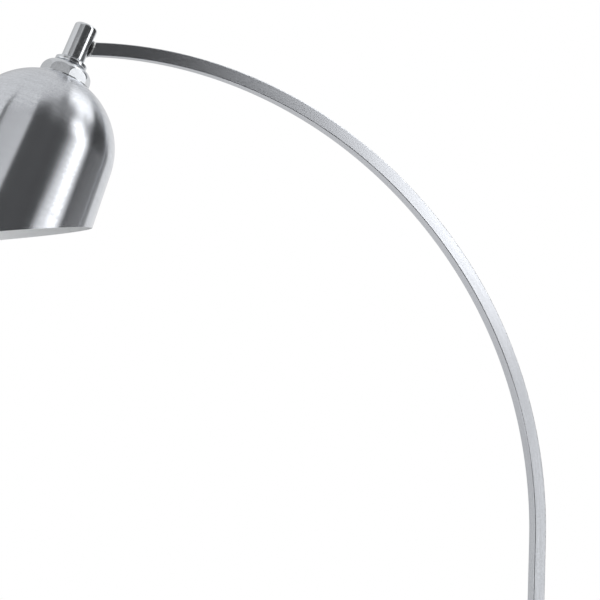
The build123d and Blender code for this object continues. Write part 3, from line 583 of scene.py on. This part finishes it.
class Repeat(Tree):
    """Sets copies of a part on points, each facing its own way."""

    def __init__(self) -> None:
        """Builds the tree."""
        super().__init__("repeat", Points="Geometry", Part="Object", Along="Vector", Spin="Float", Seed="Int")
        kit, given = self.kit, self.given
        facing = kit.add("GeometryNodeInputNamedAttribute", {"Name": "facing"}, data_type="FLOAT_VECTOR")
        align = "FunctionNodeAlignRotationToVector"
        stood = kit.add(align, {"Vector": facing.outputs["Attribute"]}, axis="Z", pivot_axis="AUTO")
        ways = {"Rotation": stood.outputs[0], "Vector": given["Along"]}
        laid = kit.add(align, ways, axis="X", pivot_axis="Z")
        # Sockets 3 and 8 are the largest angle and the seed.
        angle = kit.add("FunctionNodeRandomValue", {3: given["Spin"], 8: given["Seed"]}, data_type="FLOAT")
        spin = kit.add("FunctionNodeAxisAngleToRotation", {"Axis": UP, "Angle": angle.outputs[1]})
        turns = {0: laid.outputs[0], 1: spin.outputs[0]}
        turned = kit.add("FunctionNodeRotateRotation", turns, rotation_space="LOCAL")
        part = kit.add("GeometryNodeObjectInfo", {"Object": given["Part"]}).outputs["Geometry"]
        seats = {"Points": given["Points"], "Instance": part, "Rotation": turned.outputs[0]}
        self.close(kit.add("GeometryNodeInstanceOnPoints", seats).outputs[0])

    def run(self, name: str, part: Mesh, seats: Sequence[Seat], values: dict[str, Any]) -> Piece:
        """Sets copies of a part on its seats.

        Args:
            name: piece name.
            part: mesh to copy, standing on its seat at the origin and facing +Z.
            seats: place and facing of each copy.
            values: the tree's other inputs by name.

        Returns:
            An object holding all the copies as one mesh.
        """
        sample = put("sample", part)
        mesh = bpy.data.meshes.new(name)
        mesh.from_pydata([place for place, _ in seats], [], [])
        layer = mesh.attributes.new("facing", "FLOAT_VECTOR", "POINT")
        layer.data.foreach_set("vector", [value for _, facing in seats for value in facing])
        made = self.grow(name, mesh, {"Part": sample, "Seed": SPIN_SEED, **values})
        bpy.data.objects.remove(sample)
        smooth(made.data)
        return made


class Thread(Tree):
    """Winds a rounded ridge about the Z axis, fading at its ends."""

    steps: int = 56
    sides: int = 12
    fade: float = 12.0
    tip: float = 0.1

    def __init__(self) -> None:
        """Builds the tree."""
        super().__init__("thread", Turns="Float", Radius="Float", Rise="Float", Ridge="Float")
        kit, given = self.kit, self.given
        shape = {
            "Resolution": self.steps,
            "Rotations": given["Turns"],
            "Start Radius": given["Radius"],
            "End Radius": given["Radius"],
            "Height": given["Rise"],
        }
        wound = kit.add("GeometryNodeCurveSpiral", shape).outputs[0]
        way = kit.add("GeometryNodeSplineParameter").outputs["Factor"]
        ends = kit.math("MINIMUM", way, kit.math("SUBTRACT", 1.0, way))
        fade = kit.math("MINIMUM", kit.math("ADD", kit.math("MULTIPLY", ends, self.fade), self.tip), 1.0)
        outline = {"Resolution": self.sides, "Radius": given["Ridge"]}
        section = kit.add("GeometryNodeCurvePrimitiveCircle", outline).outputs[0]
        sweep = {"Curve": wound, "Profile Curve": section, "Scale": fade, "Fill Caps": True}
        self.close(kit.add("GeometryNodeCurveToMesh", sweep).outputs[0])

    def run(self, name: str, values: dict[str, Any], place: Matrix) -> Piece:
        """Winds a thread and puts it in place.

        Args:
            name: piece name.
            values: the tree's inputs by name.
            place: matrix from the thread's own axis to the row frame.

        Returns:
            An object holding the plain mesh.
        """
        made = self.grow(name, bpy.data.meshes.new(name), values)
        work = bmesh.new()
        work.from_mesh(made.data)
        bmesh.ops.recalc_face_normals(work, faces=work.faces[:])
        meshed(work, made.data).transform(place)
        made.data.shade_smooth()
        return made


class TubeSweep(Tree):
    """Sweeps a rounded square tube along a path."""

    corner_steps: int = 6

    def __init__(self) -> None:
        """Builds the tree."""
        super().__init__("tube_sweep", Path="Geometry", Side="Float", Corner="Float", Wall="Float")
        kit, given = self.kit, self.given
        path = kit.add("GeometryNodeMeshToCurve", {"Mesh": given["Path"]}).outputs["Curve"]
        path = self._stored(path, "along")
        inside = kit.math("SUBTRACT", given["Side"], kit.math("MULTIPLY", given["Wall"], 2.0))
        tight = kit.math("SUBTRACT", given["Corner"], given["Wall"])
        outer = self._skin(path, given["Side"], given["Corner"])
        inner = kit.add("GeometryNodeFlipFaces", {"Mesh": self._skin(path, inside, tight)}).outputs["Mesh"]
        both = kit.add("GeometryNodeJoinGeometry", {0: outer})
        kit.feed(both, {0: inner})
        self.close(both.outputs[0])

    def _stored(self, curve: Socket, name: str) -> Socket:
        """Stores the length along a curve at its points.

        Args:
            curve: the curve.
            name: name of the stored value.

        Returns:
            The curve that holds it.
        """
        length = self.kit.add("GeometryNodeSplineParameter").outputs["Length"]
        values = {"Geometry": curve, "Name": name, "Value": length}
        store = "GeometryNodeStoreNamedAttribute"
        return self.kit.add(store, values, data_type="FLOAT", domain="POINT").outputs["Geometry"]

    def _skin(self, path: Socket, side: Socket, corner: Socket) -> Socket:
        """Sweeps one rounded square along the path.

        Args:
            path: curve to follow.
            side: width over the flats.
            corner: corner radius.

        Returns:
            The swept skin's socket.
        """
        square = self.kit.add("GeometryNodeCurvePrimitiveQuadrilateral", {"Width": side, "Height": side})
        values = {"Curve": square.outputs[0], "Radius": corner, "Count": self.corner_steps}
        fillet = self.kit.add("GeometryNodeFilletCurve", values, mode="POLY")
        profile = self._stored(fillet.outputs[0], "across")
        return self.kit.add("GeometryNodeCurveToMesh", {"Curve": path, "Profile Curve": profile}).outputs[0]

    def run(self, name: str, path: Sequence[Vector], values: dict[str, Any]) -> Piece:
        """Sweeps a tube along points.

        Args:
            name: piece name.
            path: points of the centreline.
            values: the tree's inputs by name.

        Returns:
            An object holding the plain swept mesh.
        """
        mesh = bpy.data.meshes.new(name)
        mesh.from_pydata(path, [(i, i + 1) for i in range(len(path) - 1)], [])
        return self.grow(name, mesh, values)


class Workshop:
    """Holds the built materials and the repeating tree, and seats finished pieces."""

    def __init__(self, finishes: Finishes) -> None:
        """Builds one material for each finish."""
        names = finishes.__dataclass_fields__
        self.materials = {name: getattr(finishes, name).material() for name in names}
        self.repeat = Repeat()

    def dress(self, **nodes: str) -> None:
        """Gives CAD nodes their finishes.

        Args:
            nodes: names of the nodes in each finish, with spaces between them.
        """
        for finish, names in nodes.items():
            for node in names.split():
                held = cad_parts[node]
                held.data.materials.clear()
                held.data.materials.append(self.materials[finish])
                log.info("dressed %s in %s", node, finish)

    def settle(self, made: Piece, body: Body, slot: str, *nodes: str) -> None:
        """Seats a piece on its body in place of CAD nodes.

        Args:
            made: the piece.
            body: body that it rides on.
            slot: name of a material slot; not used.
            nodes: CAD nodes that it stands for.
        """
        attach(made, body.value)
        if nodes:
            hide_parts(*nodes)
        log.info("built %s with %d faces", made.name, len(made.data.polygons))


@dataclass
class Arch:
    """Square post and two-radius arch, sizes in metres and degrees."""

    workshop: Workshop
    side: float = 0.022
    wall: float = 0.0015
    corner: float = 0.0016
    lean: float = 1.85
    radius_low: float = 0.745
    radius_high: float = 0.820
    change: float = 35.0
    end: float = 92.1
    centre_height: float = 1.130
    foot: Point2 = (0.070, 0.028)
    splice: float = 0.820
    chamfer: float = 0.0004
    spare_length: float = 0.004
    spare_turn: float = 1.6
    post_steps: tuple[float, ...] = (0.2, 0.4, 0.6)
    rise_steps: int = 12
    low_steps: int = 72
    high_steps: int = 112
    on_plane: float = 0.0005
    screw: SocketScrew = SocketScrew(0.0046, 0.0026, 0.00245, 0.0045)
    screw_pitch: float = 0.030
    face: Point3 = (-0.731278, 0.0, 1.906431)
    face_normal: Point3 = (0.910683, 0.0, -0.413105)

    def build(self) -> None:
        """Sweeps the post and the arch, seats them and sets the joint's screws."""
        sweep = TubeSweep()
        lean, change = math.radians(self.lean), math.radians(self.change)
        start = self.centre_height - self.radius_low * math.sin(lean)
        top_x = self._post_point(start).x
        low = Vector((top_x - self.radius_low * math.cos(lean), 0.0, self.centre_height))
        step = self.radius_low - self.radius_high
        high = low + Vector((step * math.cos(change), 0.0, step * math.sin(change)))
        floor = self.foot[1]
        heights = (floor - self.spare_length, *self.post_steps, self.splice)
        post = [self._post_point(height) for height in heights]
        climb = (start - self.splice) / self.rise_steps
        rise = [self._post_point(self.splice + climb * i) for i in range(self.rise_steps)]
        first = self._arc(low, self.radius_low, -self.lean, self.change, self.low_steps)
        second = self._arc(high, self.radius_high, self.change, self.end + self.spare_turn, self.high_steps)
        self._tube(sweep, "post_tube", post, "lower_pole", floor * UP, UP)
        arch = rise + first[:-1] + second
        self._tube(sweep, "arch_tube", arch, "arc_tube", Vector(self.face), Vector(self.face_normal))
        upright = Vector((math.sin(lean), 0.0, math.cos(lean)))
        self._screws(upright, Vector((math.cos(lean), 0.0, -math.sin(lean))))

    def _screws(self, upright: Vector, rear: Vector) -> None:
        """Sets the four screws of the joint on the post's rear face.

        Args:
            upright: direction up the post.
            rear: direction out of its rear face.
        """
        joint = self._post_point(self.splice) + rear * self.side / 2
        seats = [(joint + upright * self.screw_pitch * step, rear) for step in (-2, -1, 1, 2)]
        values = {"Along": upright, "Spin": SIXTH_TURN, "Finish": self.workshop.materials["plated"]}
        made = self.workshop.repeat.run("splice_screw_set", self.screw.mesh(), seats, values)
        self.workshop.settle(made, Body.STAND, "plated_steel", "splice_screws")

    def _post_point(self, height: float) -> Vector:
        """Returns the point on the post's centreline at a height."""
        way = self.foot[0] + (height - self.foot[1]) * math.tan(math.radians(self.lean))
        return Vector((way, 0.0, height))

    def _arc(self, centre: Vector, radius: float, start: float, stop: float, count: int) -> list[Vector]:
        """Returns points on an upright arc.

        Args:
            centre: arc centre.
            radius: arc radius.
            start: first angle in degrees.
            stop: last angle in degrees.
            count: number of steps.

        Returns:
            The points from start to stop.
        """
        angles = [math.radians(start + (stop - start) * i / count) for i in range(count + 1)]
        return [centre + Vector((radius * math.cos(a), 0.0, radius * math.sin(a))) for a in angles]

    def _tube(
        self, sweep: TubeSweep, name: str, path: list[Vector], node: str, cut: Vector, keep: Vector
    ) -> None:
        """Sweeps, cuts, closes and seats one tube.

        Args:
            sweep: the sweeping tree.
            name: piece name.
            path: centreline points.
            node: CAD node that it stands for.
            cut: point on the cutting plane.
            keep: direction of the side that stays.
        """
        sizes = {"Side": self.side, "Corner": self.corner, "Wall": self.wall}
        made = sweep.run(name, path, {**sizes, "Finish": self.workshop.materials["tube"]})
        work = bmesh.new()
        work.from_mesh(made.data)
        everything = work.verts[:] + work.edges[:] + work.faces[:]
        bmesh.ops.bisect_plane(work, geom=everything, plane_co=cut, plane_no=keep, clear_inner=True)
        self._map(work)
        near, far = [], []
        for edge in work.edges:
            if edge.is_boundary:
                off = max(abs((vertex.co - cut).dot(keep)) for vertex in edge.verts)
                (near if off < self.on_plane else far).append(edge)
        rims = [self._outline(edges) for edges in (near, far)]
        for edges in (near, far):
            bmesh.ops.bridge_loops(work, edges=edges)
        bmesh.ops.recalc_face_normals(work, faces=work.faces[:])
        for rim in rims:
            bmesh.ops.bevel(work, geom=rim, offset=self.chamfer, segments=2, profile=0.5, affect="EDGES")
        meshed(work, made.data)
        weighted(made)
        self.workshop.settle(made, Body.STAND, "steel", node)

    def _outline(self, edges: Edges) -> Edges:
        """Picks the longer of the two loops that end a tube.

        Args:
            edges: edges of both loops.

        Returns:
            The edges of the outer loop.
        """
        left = set(edges)
        loops = []
        while left:
            loop = [left.pop()]
            for edge in loop:
                linked = {other for vertex in edge.verts for other in vertex.link_edges} & left
                left -= linked
                loop.extend(linked)
            loops.append(loop)
        return max(loops, key=lambda loop: sum(edge.calc_length() for edge in loop))

    def _map(self, work: Work) -> None:
        """Writes the grain map from the stored lengths, in metres.

        Args:
            work: mesh that carries the lengths at its points.
        """
        along = work.verts.layers.float["along"]
        across = work.verts.layers.float["across"]
        chart = work.loops.layers.uv.new(GRAIN_MAP)
        round_trip = 4 * self.side
        for part in work.faces:
            ways = [loop.vert[across] for loop in part.loops]
            wraps = max(ways) - min(ways) > round_trip / 2
            for loop, way in zip(part.loops, ways):
                shift = round_trip if wraps and way < round_trip / 2 else 0.0
                loop[chart].uv = (loop.vert[along], way + shift)


@dataclass
class NeckFrame:
    """Place of the leaning neck axis, in metres and degrees."""

    dome: Point3 = (-0.831472, 0.0, 1.738326)
    tilt: float = 24.4

    def matrix(self) -> Matrix:
        """Returns the matrix from neck coordinates to the row frame."""
        lean = math.radians(self.tilt)
        side = Vector((math.cos(lean), 0.0, -math.sin(lean)))
        up = Vector((math.sin(lean), 0.0, math.cos(lean)))
        turn = Matrix((side, Vector((0.0, 1.0, 0.0)), up)).transposed().to_4x4()
        return Matrix.Translation(self.dome) @ turn


@dataclass
class Shade:
    """Spun dome with an opening skirt and a slant-cut rim, sizes in metres and degrees."""

    workshop: Workshop
    neck: NeckFrame
    radius: float = 0.1325
    wall: float = 0.0012
    flare: float = 4.3
    seat: float = 0.044
    hole: float = 0.00505
    rim_at: float = -0.1603
    rim_drop: float = 5.66
    around: int = 288
    dome_rings: int = 56
    skirt_rings: int = 44
    crease: float = 28.0

    def build(self) -> None:
        """Spins the outer and inner walls, joins them at rim and hole, and seats the shade."""
        work = bmesh.new()
        chart = work.loops.layers.uv.new(GRAIN_MAP)
        outer = self._wall(work, self.radius, 0.0)
        inner = self._wall(work, self.radius - self.wall, self.wall)
        rim, hole = (outer[-1], inner[-1]), (outer[0], inner[0])
        for rings, number, flip in ((outer, 0, False), (inner, 1, True), (rim, 0, False), (hole, 0, True)):
            for upper, lower in zip(rings, rings[1:]):
                self._strip(work, chart, upper, lower, number, flip)
        mesh = meshed(work, bpy.data.meshes.new("shade_shell"))
        mesh.transform(self.neck.matrix())
        for finish in ("spun", "inside"):
            mesh.materials.append(self.workshop.materials[finish])
        smooth(mesh, self.crease)
        self.workshop.settle(put("shade_shell", mesh), Body.HEAD, "shade_metal", "shade")

    def _wall(self, work: Work, radius: float, drop: float) -> list[list[tuple]]:
        """Adds the points of one wall, ring by ring from the hole to the rim.

        Args:
            work: mesh to add to.
            radius: dome radius of the wall.
            drop: how far its flat top lies under the outer one.

        Returns:
            Rings of (vertex, way along the wall) pairs.
        """
        flare, slant = math.radians(self.flare), math.radians(self.neck.tilt + self.rim_drop)
        turns = [2 * math.pi * j / self.around for j in range(self.around)]
        top = math.sqrt(self.radius**2 - self.seat**2) - drop
        first = math.asin(top / radius)
        low = radius * math.sin(flare)
        edge = radius * math.cos(first)
        base = radius * math.cos(flare) + low * math.tan(flare)
        slopes = [math.tan(slant) * math.cos(turn) for turn in turns]
        stops = [(self.rim_at + slope * base) / (1 + slope * math.tan(flare)) for slope in slopes]
        flats = (self.hole, 0.5 * (self.hole + self.seat))
        rings = [[(flat, top, flat)] * self.around for flat in flats]
        for i in range(self.dome_rings + 1):
            angle = first + (flare - first) * i / self.dome_rings
            point = (radius * math.cos(angle), radius * math.sin(angle), edge + radius * (first - angle))
            rings.append([point] * self.around)
        at_skirt = edge + radius * (first - flare)
        for i in range(1, self.skirt_rings + 1):
            band = []
            for stop in stops:
                height = low + (stop - low) * i / self.skirt_rings
                reach = radius * math.cos(flare) + (low - height) * math.tan(flare)
                band.append((reach, height, at_skirt + (low - height) / math.cos(flare)))
            rings.append(band)
        return [
            [
                (work.verts.new((reach * math.cos(turn), reach * math.sin(turn), height)), way)
                for turn, (reach, height, way) in zip(turns, band)
            ]
            for band in rings
        ]

    def _strip(
        self, work: Work, chart: Any, upper: list, lower: list, number: int, flip: bool
    ) -> None:
        """Fills the band between two rings and writes its grain map.

        Args:
            work: mesh to add to.
            chart: map layer.
            upper: ring nearer the hole, or on the outer wall.
            lower: ring nearer the rim, or on the inner wall.
            number: material number.
            flip: whether to turn the faces over.
        """
        around = 2 * math.pi * self.radius
        for j in range(self.around):
            k = (j + 1) % self.around
            corners = [(upper[j], j), (lower[j], j), (lower[k], j + 1), (upper[k], j + 1)]
            if flip:
                corners.reverse()
            part = work.faces.new([pair[0] for pair, _ in corners])
            part.material_index = number
            for loop, (pair, step) in zip(part.loops, corners):
                loop[chart].uv = (around * step / self.around, pair[1])


@dataclass
class Neck:
    """Polished barrel, ring and eight-sided collar over the shade, with the swivel inside."""

    workshop: Workshop

    def build(self) -> None:
        """Dresses the neck's nodes."""
        self.workshop.dress(
            chrome="barrel barrel_cap neck_ring",
            satin="neck_collar seat_washer arm_plug",
            plated="spring_washer swivel_nut swivel_stem neck_nut inner_washer lock_nut swivel_washer",
            brass="neck_pipe",
            moulding="barrel_bush swivel_pad",
            sheath="arm_lead knuckle_lead holder_lead",
        )


@dataclass
class Holder:
    """Lamp holder, turn switch and opal bulb inside the shade, sizes in metres along the neck."""

    workshop: Workshop
    neck: NeckFrame
    parting: float = 0.09198
    radius: float = 0.019
    ribs: int = 28
    rib: Rib = Rib(0.022, 0.0016, 0.0005)
    rib_drop: float = 0.019
    knob_rise: float = 0.006
    knob_out: float = 0.0318
    knob_half: float = 0.003
    knob_rib: Rib = Rib(0.0075, 0.0009, 0.00035)
    knob_pitch: float = 0.002
    cap_drop: float = 0.0345
    thread_radius: float = 0.0129
    thread_pitch: float = 0.00362
    thread_turns: float = 4.5
    ridge: float = 0.0005

    def build(self) -> None:
        """Dresses the holder's nodes and adds its ribs and the cap's thread."""
        self.workshop.dress(
            moulding="holder_cap holder_shell switch_knob bulb_insulator",
            glaze="holder_core",
            brass="screw_shell centre_contact bulb_contact",
            plated="switch_spindle",
            bulb_metal="bulb_cap",
            opal="bulb_glass",
        )
        self._grip()
        self._wing()
        self._thread()

    def _grip(self) -> None:
        """Sets the grip ribs round the holder's shell."""
        lift = (self.parting - self.rib_drop) * UP
        seats = [(out * self.radius + lift, out) for out in ring(1.0, 0.0, around=self.ribs)]
        self._set("holder_ribs", self.rib, seats, UP, Body.HEAD)

    def _wing(self) -> None:
        """Sets five ribs on each flat of the switch knob."""
        seats = []
        for side in (-1, 1):
            height = self.parting + self.knob_rise + side * self.knob_half
            spots = [Vector((i * self.knob_pitch, -self.knob_out, height)) for i in range(-2, 3)]
            seats += [(spot, side * UP) for spot in spots]
        self._set("knob_ribs", self.knob_rib, seats, Vector((0.0, 1.0, 0.0)), Body.SWITCH)

    def _set(self, name: str, rib: Rib, seats: list[Seat], along: Vector, body: Body) -> None:
        """Sets ribs on seats given in neck coordinates.

        Args:
            name: piece name.
            rib: the rib to copy.
            seats: place and facing of each rib.
            along: direction of the ribs.
            body: body that they ride on.
        """
        place = self.neck.matrix()
        turn = place.to_3x3()
        stood = [(place @ spot, turn @ facing) for spot, facing in seats]
        values = {"Along": turn @ along, "Spin": 0.0, "Finish": self.workshop.materials["moulding"]}
        made = self.workshop.repeat.run(name, rib.mesh(), stood, values)
        self.workshop.settle(made, body, "moulding")

    def _thread(self) -> None:
        """Winds the thread round the bulb's cap."""
        values = {
            "Turns": self.thread_turns,
            "Radius": self.thread_radius,
            "Rise": self.thread_turns * self.thread_pitch,
            "Ridge": self.ridge,
            "Finish": self.workshop.materials["bulb_metal"],
        }
        place = self.neck.matrix() @ Matrix.Translation((self.parting - self.cap_drop) * UP)
        made = Thread().run("cap_thread", values, place)
        self.workshop.settle(made, Body.BULB, "bulb_metal")


@dataclass
class Base:
    """Weighted round base with its cover, feet, fixings and wiring recess, sizes in metres."""

    workshop: Workshop
    foot: Foot = Foot(0.011, 0.004)
    foot_circle: float = 0.148
    lid_at: float = 0.070
    lid_circle: float = 0.0535
    screw: SocketScrew = SocketScrew(0.0034, 0.0018, 0.0019, 0.009)

    def build(self) -> None:
        """Dresses the base's nodes and sets its feet and lid screws."""
        self.workshop.dress(
            iron="base_weight",
            cover="base_cover",
            satin="pole_collar splice_sleeve",
            plated="foot_plate foot_screws recess_lid",
            rubber="cord_bushing",
            moulding="terminal_block",
            brass="terminal_screws",
        )
        corners = [Vector(), *ring(self.foot_circle, 0.0, around=12)[1::2]]
        self._underneath("foot_set", self.foot.mesh(), corners, "rubber", "rubber", "base_feet")
        middle = Vector((self.lid_at, 0, 0))
        holes = [middle + spot for spot in ring(self.lid_circle, 0.0, around=8)[1::2]]
        self._underneath("lid_screw_set", self.screw.mesh(), holes, "plated", "plated_steel", "lid_screws")

    def _underneath(
        self, name: str, part: Mesh, spots: list[Vector], finish: str, slot: str, node: str
    ) -> None:
        """Sets copies of a part under the base, facing the floor.

        Args:
            name: piece name.
            part: mesh to copy.
            spots: places in plan.
            finish: finish name.
            slot: name of a material slot, handed on to the workshop.
            node: CAD node that they stand for.
        """
        seats = [(spot + self.foot.height * UP, -UP) for spot in spots]
        finished = self.workshop.materials[finish]
        values = {"Along": Vector((1, 0, 0)), "Spin": SIXTH_TURN, "Finish": finished}
        made = self.workshop.repeat.run(name, part, seats, values)
        self.workshop.settle(made, Body.STAND, slot, node)


def eased(value: float, soft: float) -> float:
    """Returns a smooth step from 0 to 1 as a value passes from minus half a width to plus half."""
    share = min(1.0, max(0.0, value / soft + 0.5))
    return share * share * (3 - 2 * share)


@dataclass(frozen=True)
class Panel:
    """Patch of a studio board with its own tone, between two places across and two up."""

    left: float
    right: float
    low: float
    high: float
    tone: float
    soft: float
    lean: float = 0.0

    def cover(self, across: float, up: float) -> float:
        """Returns how much of a place the panel covers, from 0 to 1, eased at its edges."""
        shift = self.lean * up
        sides = eased(across - self.left - shift, self.soft) * eased(self.right + shift - across, self.soft)
        return sides * eased(up - self.low, self.soft) * eased(self.high - up, self.soft)


@dataclass(frozen=True)
class Run:
    """Evenly spaced places along one side of a board."""

    start: float
    step: float
    count: int

    def places(self) -> list[float]:
        """Returns the places in order."""
        return [self.start + self.step * i for i in range(self.count)]


@dataclass(frozen=True)
class Board:
    """Glowing grid that only reflections show, in metres, or in degrees where it is round."""

    name: str
    stand: Stand
    level: float
    across: Run
    up: Run
    base: float
    panels: tuple[Panel, ...]

    def tone(self, across: float, up: float) -> float:
        """Works out the tone of a place, with each panel laid over the ones before it.

        Args:
            across: place across the board.
            up: place up the board.

        Returns:
            The strength of the glow.
        """
        tone = self.base
        for panel in self.panels:
            tone += (panel.tone - tone) * panel.cover(across, up)
        return tone


@dataclass(frozen=True)
class SoftLamp:
    """Square soft lamp, in metres and watts."""

    name: str
    place: Point3
    aim: Point3
    size: float
    power: float

    def hang(self) -> None:
        """Hangs the lamp, out of sight of the camera and of reflections."""
        light = bpy.data.lights.new(self.name, "AREA")
        light.size = self.size
        light.energy = self.power
        made = put(self.name, light)
        made.location = self.place
        made.rotation_euler = (Vector(self.aim) - Vector(self.place)).to_track_quat("-Z", "Y").to_euler()
        made.visible_glossy = False
        made.visible_camera = False


DOME = Board(
    "studio_dome", Stand.ROUND, 9.0, Run(-180, 1.5, 240), Run(-8, 2, 50), 0.75,
    (
        Panel(-90, 10, -15, 34, 1.62, 6),
        Panel(130, 200, -15, 36, 0.88, 3),
        Panel(-200, -90, -15, 36, 0.62, 8),
        Panel(-70, -14, -20, 12, 0.25, 6),
        Panel(-52, 66, 33, 50, 0.30, 6),
        Panel(-49.5, -43.5, 15, 68, 0.02, 2, -0.15),
        Panel(-20, 64, -20, 65, 0.07, 3, 0.42),
        Panel(34, 68, 43, 64, 0.36, 10),
        Panel(80, 135.5, -20, 36, 0.04, 3, -0.17),
        Panel(90, 128, 39, 60, 1.90, 5),
        Panel(95, 117, 32, 46, 1.60, 4),
    ),
)
SOFTBOX = Board(
    "studio_softbox", Stand.UPRIGHT, -2.1, Run(0.2, 0.05, 54), Run(0.02, 0.1, 44), 0.04,
    (
        Panel(1.15, 2.50, -1.0, 1.70, 1.55, 0.45),
        Panel(1.45, 2.60, 2.4, 3.6, 1.40, 0.4, -0.30),
        Panel(0.0, 1.3, 3.2, 4.8, 0.36, 0.6),
        Panel(1.30, 2.42, 1.75, 2.25, 2.7, 0.35),
        Panel(1.20, 2.36, 1.72, 3.4, 3.0, 0.35, -0.12),
    ),
)
CARD = Board(
    "studio_card", Stand.FLAT, 0.002, Run(-3.0, 0.1, 47), Run(-8.4, 0.1, 85), 0.75,
    (Panel(-2.6, 1.2, -9.0, -0.2, 0.12, 0.5),),
)
STRIP = Board(
    "studio_strip", Stand.UPRIGHT, -0.6, Run(-0.74, 0.012, 21), Run(1.40, 0.0117, 31), 0.04,
    (Panel(-1.70, 0.5, 1.0, 2.5, 0.72, 0.17, 0.62),),
)


@dataclass
class Studio:
    """Pale floor, soft light, reflecting boards and the camera, in metres."""

    centre: Point3 = (-0.35, 0.0, 1.0)
    floor: float = 60.0
    floor_tones: Point2 = (0.86, 0.90)
    world_light: float = 0.65
    camera_place: Point3 = (-3.38952, -6.28559, 1.01164)
    camera_look: Point3 = (0.43442651, 0.89794148, 0.07053161)
    lens: float = 250.27
    boards: tuple[Board, ...] = (DOME, SOFTBOX, CARD, STRIP)
    lamps: tuple[SoftLamp, ...] = (
        SoftLamp("key", (-3.2, -3.6, 4.4), (-0.55, 0.0, 1.4), 3.2, 130.0),
        SoftLamp("fill", (3.4, -2.4, 3.2), (-0.55, 0.0, 1.4), 3.0, 60.0),
        SoftLamp("bounce", (-1.0, -0.8, 0.1), (-1.0, -0.8, 1.0), 1.2, 8.0),
    )

    def build(self) -> None:
        """Sets up the whole studio."""
        bpy.context.scene.view_settings.view_transform = "Standard"
        self._world()
        self._floor()
        for board in self.boards:
            self._glow(board)
        for lamp in self.lamps:
            lamp.hang()
        self._camera()

    def _world(self) -> None:
        """Makes a white surround for what is seen and a plain level of light for the rest."""
        world = bpy.data.worlds.new("studio")
        bpy.context.scene.world = world
        kit = bare(world)
        rays = kit.add("ShaderNodeLightPath").outputs
        seen = kit.math("MAXIMUM", rays["Is Camera Ray"], rays["Is Glossy Ray"])
        seen = kit.math("MAXIMUM", seen, rays["Is Transmission Ray"])
        white = (1.0, 1.0, 1.0, 1.0)
        light, clear = (
            kit.add("ShaderNodeBackground", {"Color": white, "Strength": strength}).outputs[0]
            for strength in (self.world_light, 1.0)
        )
        mixed = kit.add("ShaderNodeMixShader", {0: seen, 1: light, 2: clear})
        kit.add("ShaderNodeOutputWorld", {"Surface": mixed.outputs[0]})

    def _floor(self) -> None:
        """Lays the floor."""
        half = self.floor / 2
        corners = [(-half, -half, 0), (half, -half, 0), (half, half, 0), (-half, half, 0)]
        mesh = bpy.data.meshes.new("floor")
        mesh.from_pydata(corners, [], [(0, 1, 2, 3)])
        material, kit, shader = new_material("pale_floor")
        noise = kit.noise(kit.place(), scale=3.0, detail=3.0)
        dark, light = ((tone, tone, tone) for tone in self.floor_tones)
        kit.feed(shader, {"Base Color": kit.blend(noise, dark, light), "Roughness": 0.8})
        mesh.materials.append(material)
        put("floor", mesh)

    def _spot(self, board: Board, across: float, up: float) -> Vector:
        """Returns where a place of a board stands.

        Args:
            board: the board.
            across: place across it.
            up: place up it.

        Returns:
            The point in the row frame.
        """
        if board.stand is Stand.UPRIGHT:
            return Vector((across, board.level, up))
        if board.stand is Stand.FLAT:
            return Vector((across, up, board.level))
        height = math.radians(up)
        ahead, aside, _ = self.camera_look
        angle = math.atan2(-aside, -ahead) + math.radians(across)
        flat, rise = board.level * math.cos(height), board.level * math.sin(height)
        return Vector(self.centre) + Vector((flat * math.cos(angle), flat * math.sin(angle), rise))

    def _glow(self, board: Board) -> None:
        """Stands a board, with its glow at each point of the grid.

        Args:
            board: the board.
        """
        row = board.across.count
        grid = [(across, up) for up in board.up.places() for across in board.across.places()]
        parts = []
        for start in range(0, len(grid) - row, row):
            for i in range(row if board.stand is Stand.ROUND else row - 1):
                j = (i + 1) % row
                parts.append((start + i, start + j, start + row + j, start + row + i))
        mesh = bpy.data.meshes.new(board.name)
        mesh.from_pydata([self._spot(board, *place) for place in grid], [], parts)
        layer = mesh.attributes.new("tone", "FLOAT", "POINT")
        layer.data.foreach_set("value", [board.tone(*place) for place in grid])
        material = bpy.data.materials.new(board.name)
        kit = bare(material)
        tone = kit.add("ShaderNodeAttribute", attribute_name="tone").outputs["Fac"]
        glow = kit.add("ShaderNodeEmission", {"Strength": tone})
        kit.add("ShaderNodeOutputMaterial", {"Surface": glow.outputs[0]})
        material.cycles.emission_sampling = "NONE"
        mesh.materials.append(material)
        made = put(board.name, mesh)
        made.visible_camera = False
        made.visible_diffuse = False
        made.visible_shadow = False

    def _camera(self) -> None:
        """Places the camera at the photograph's viewing angle."""
        lens = bpy.data.cameras.new("camera")
        lens.lens = self.lens
        lens.sensor_width = 36.0
        lens.clip_end = 200.0
        made = put("camera", lens)
        made.location = self.camera_place
        made.rotation_euler = Vector(self.camera_look).to_track_quat("-Z", "Y").to_euler()
        bpy.context.scene.camera = made


def main() -> None:
    """Builds the lamp piece by piece, then the studio."""
    logging.basicConfig(level=logging.INFO)
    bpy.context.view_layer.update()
    workshop = Workshop(Finishes())
    neck = NeckFrame()
    Base(workshop).build()
    Arch(workshop).build()
    Neck(workshop).build()
    Shade(workshop, neck).build()
    Holder(workshop, neck).build()
    Studio().build()


if __name__ == "__main__":
    main()
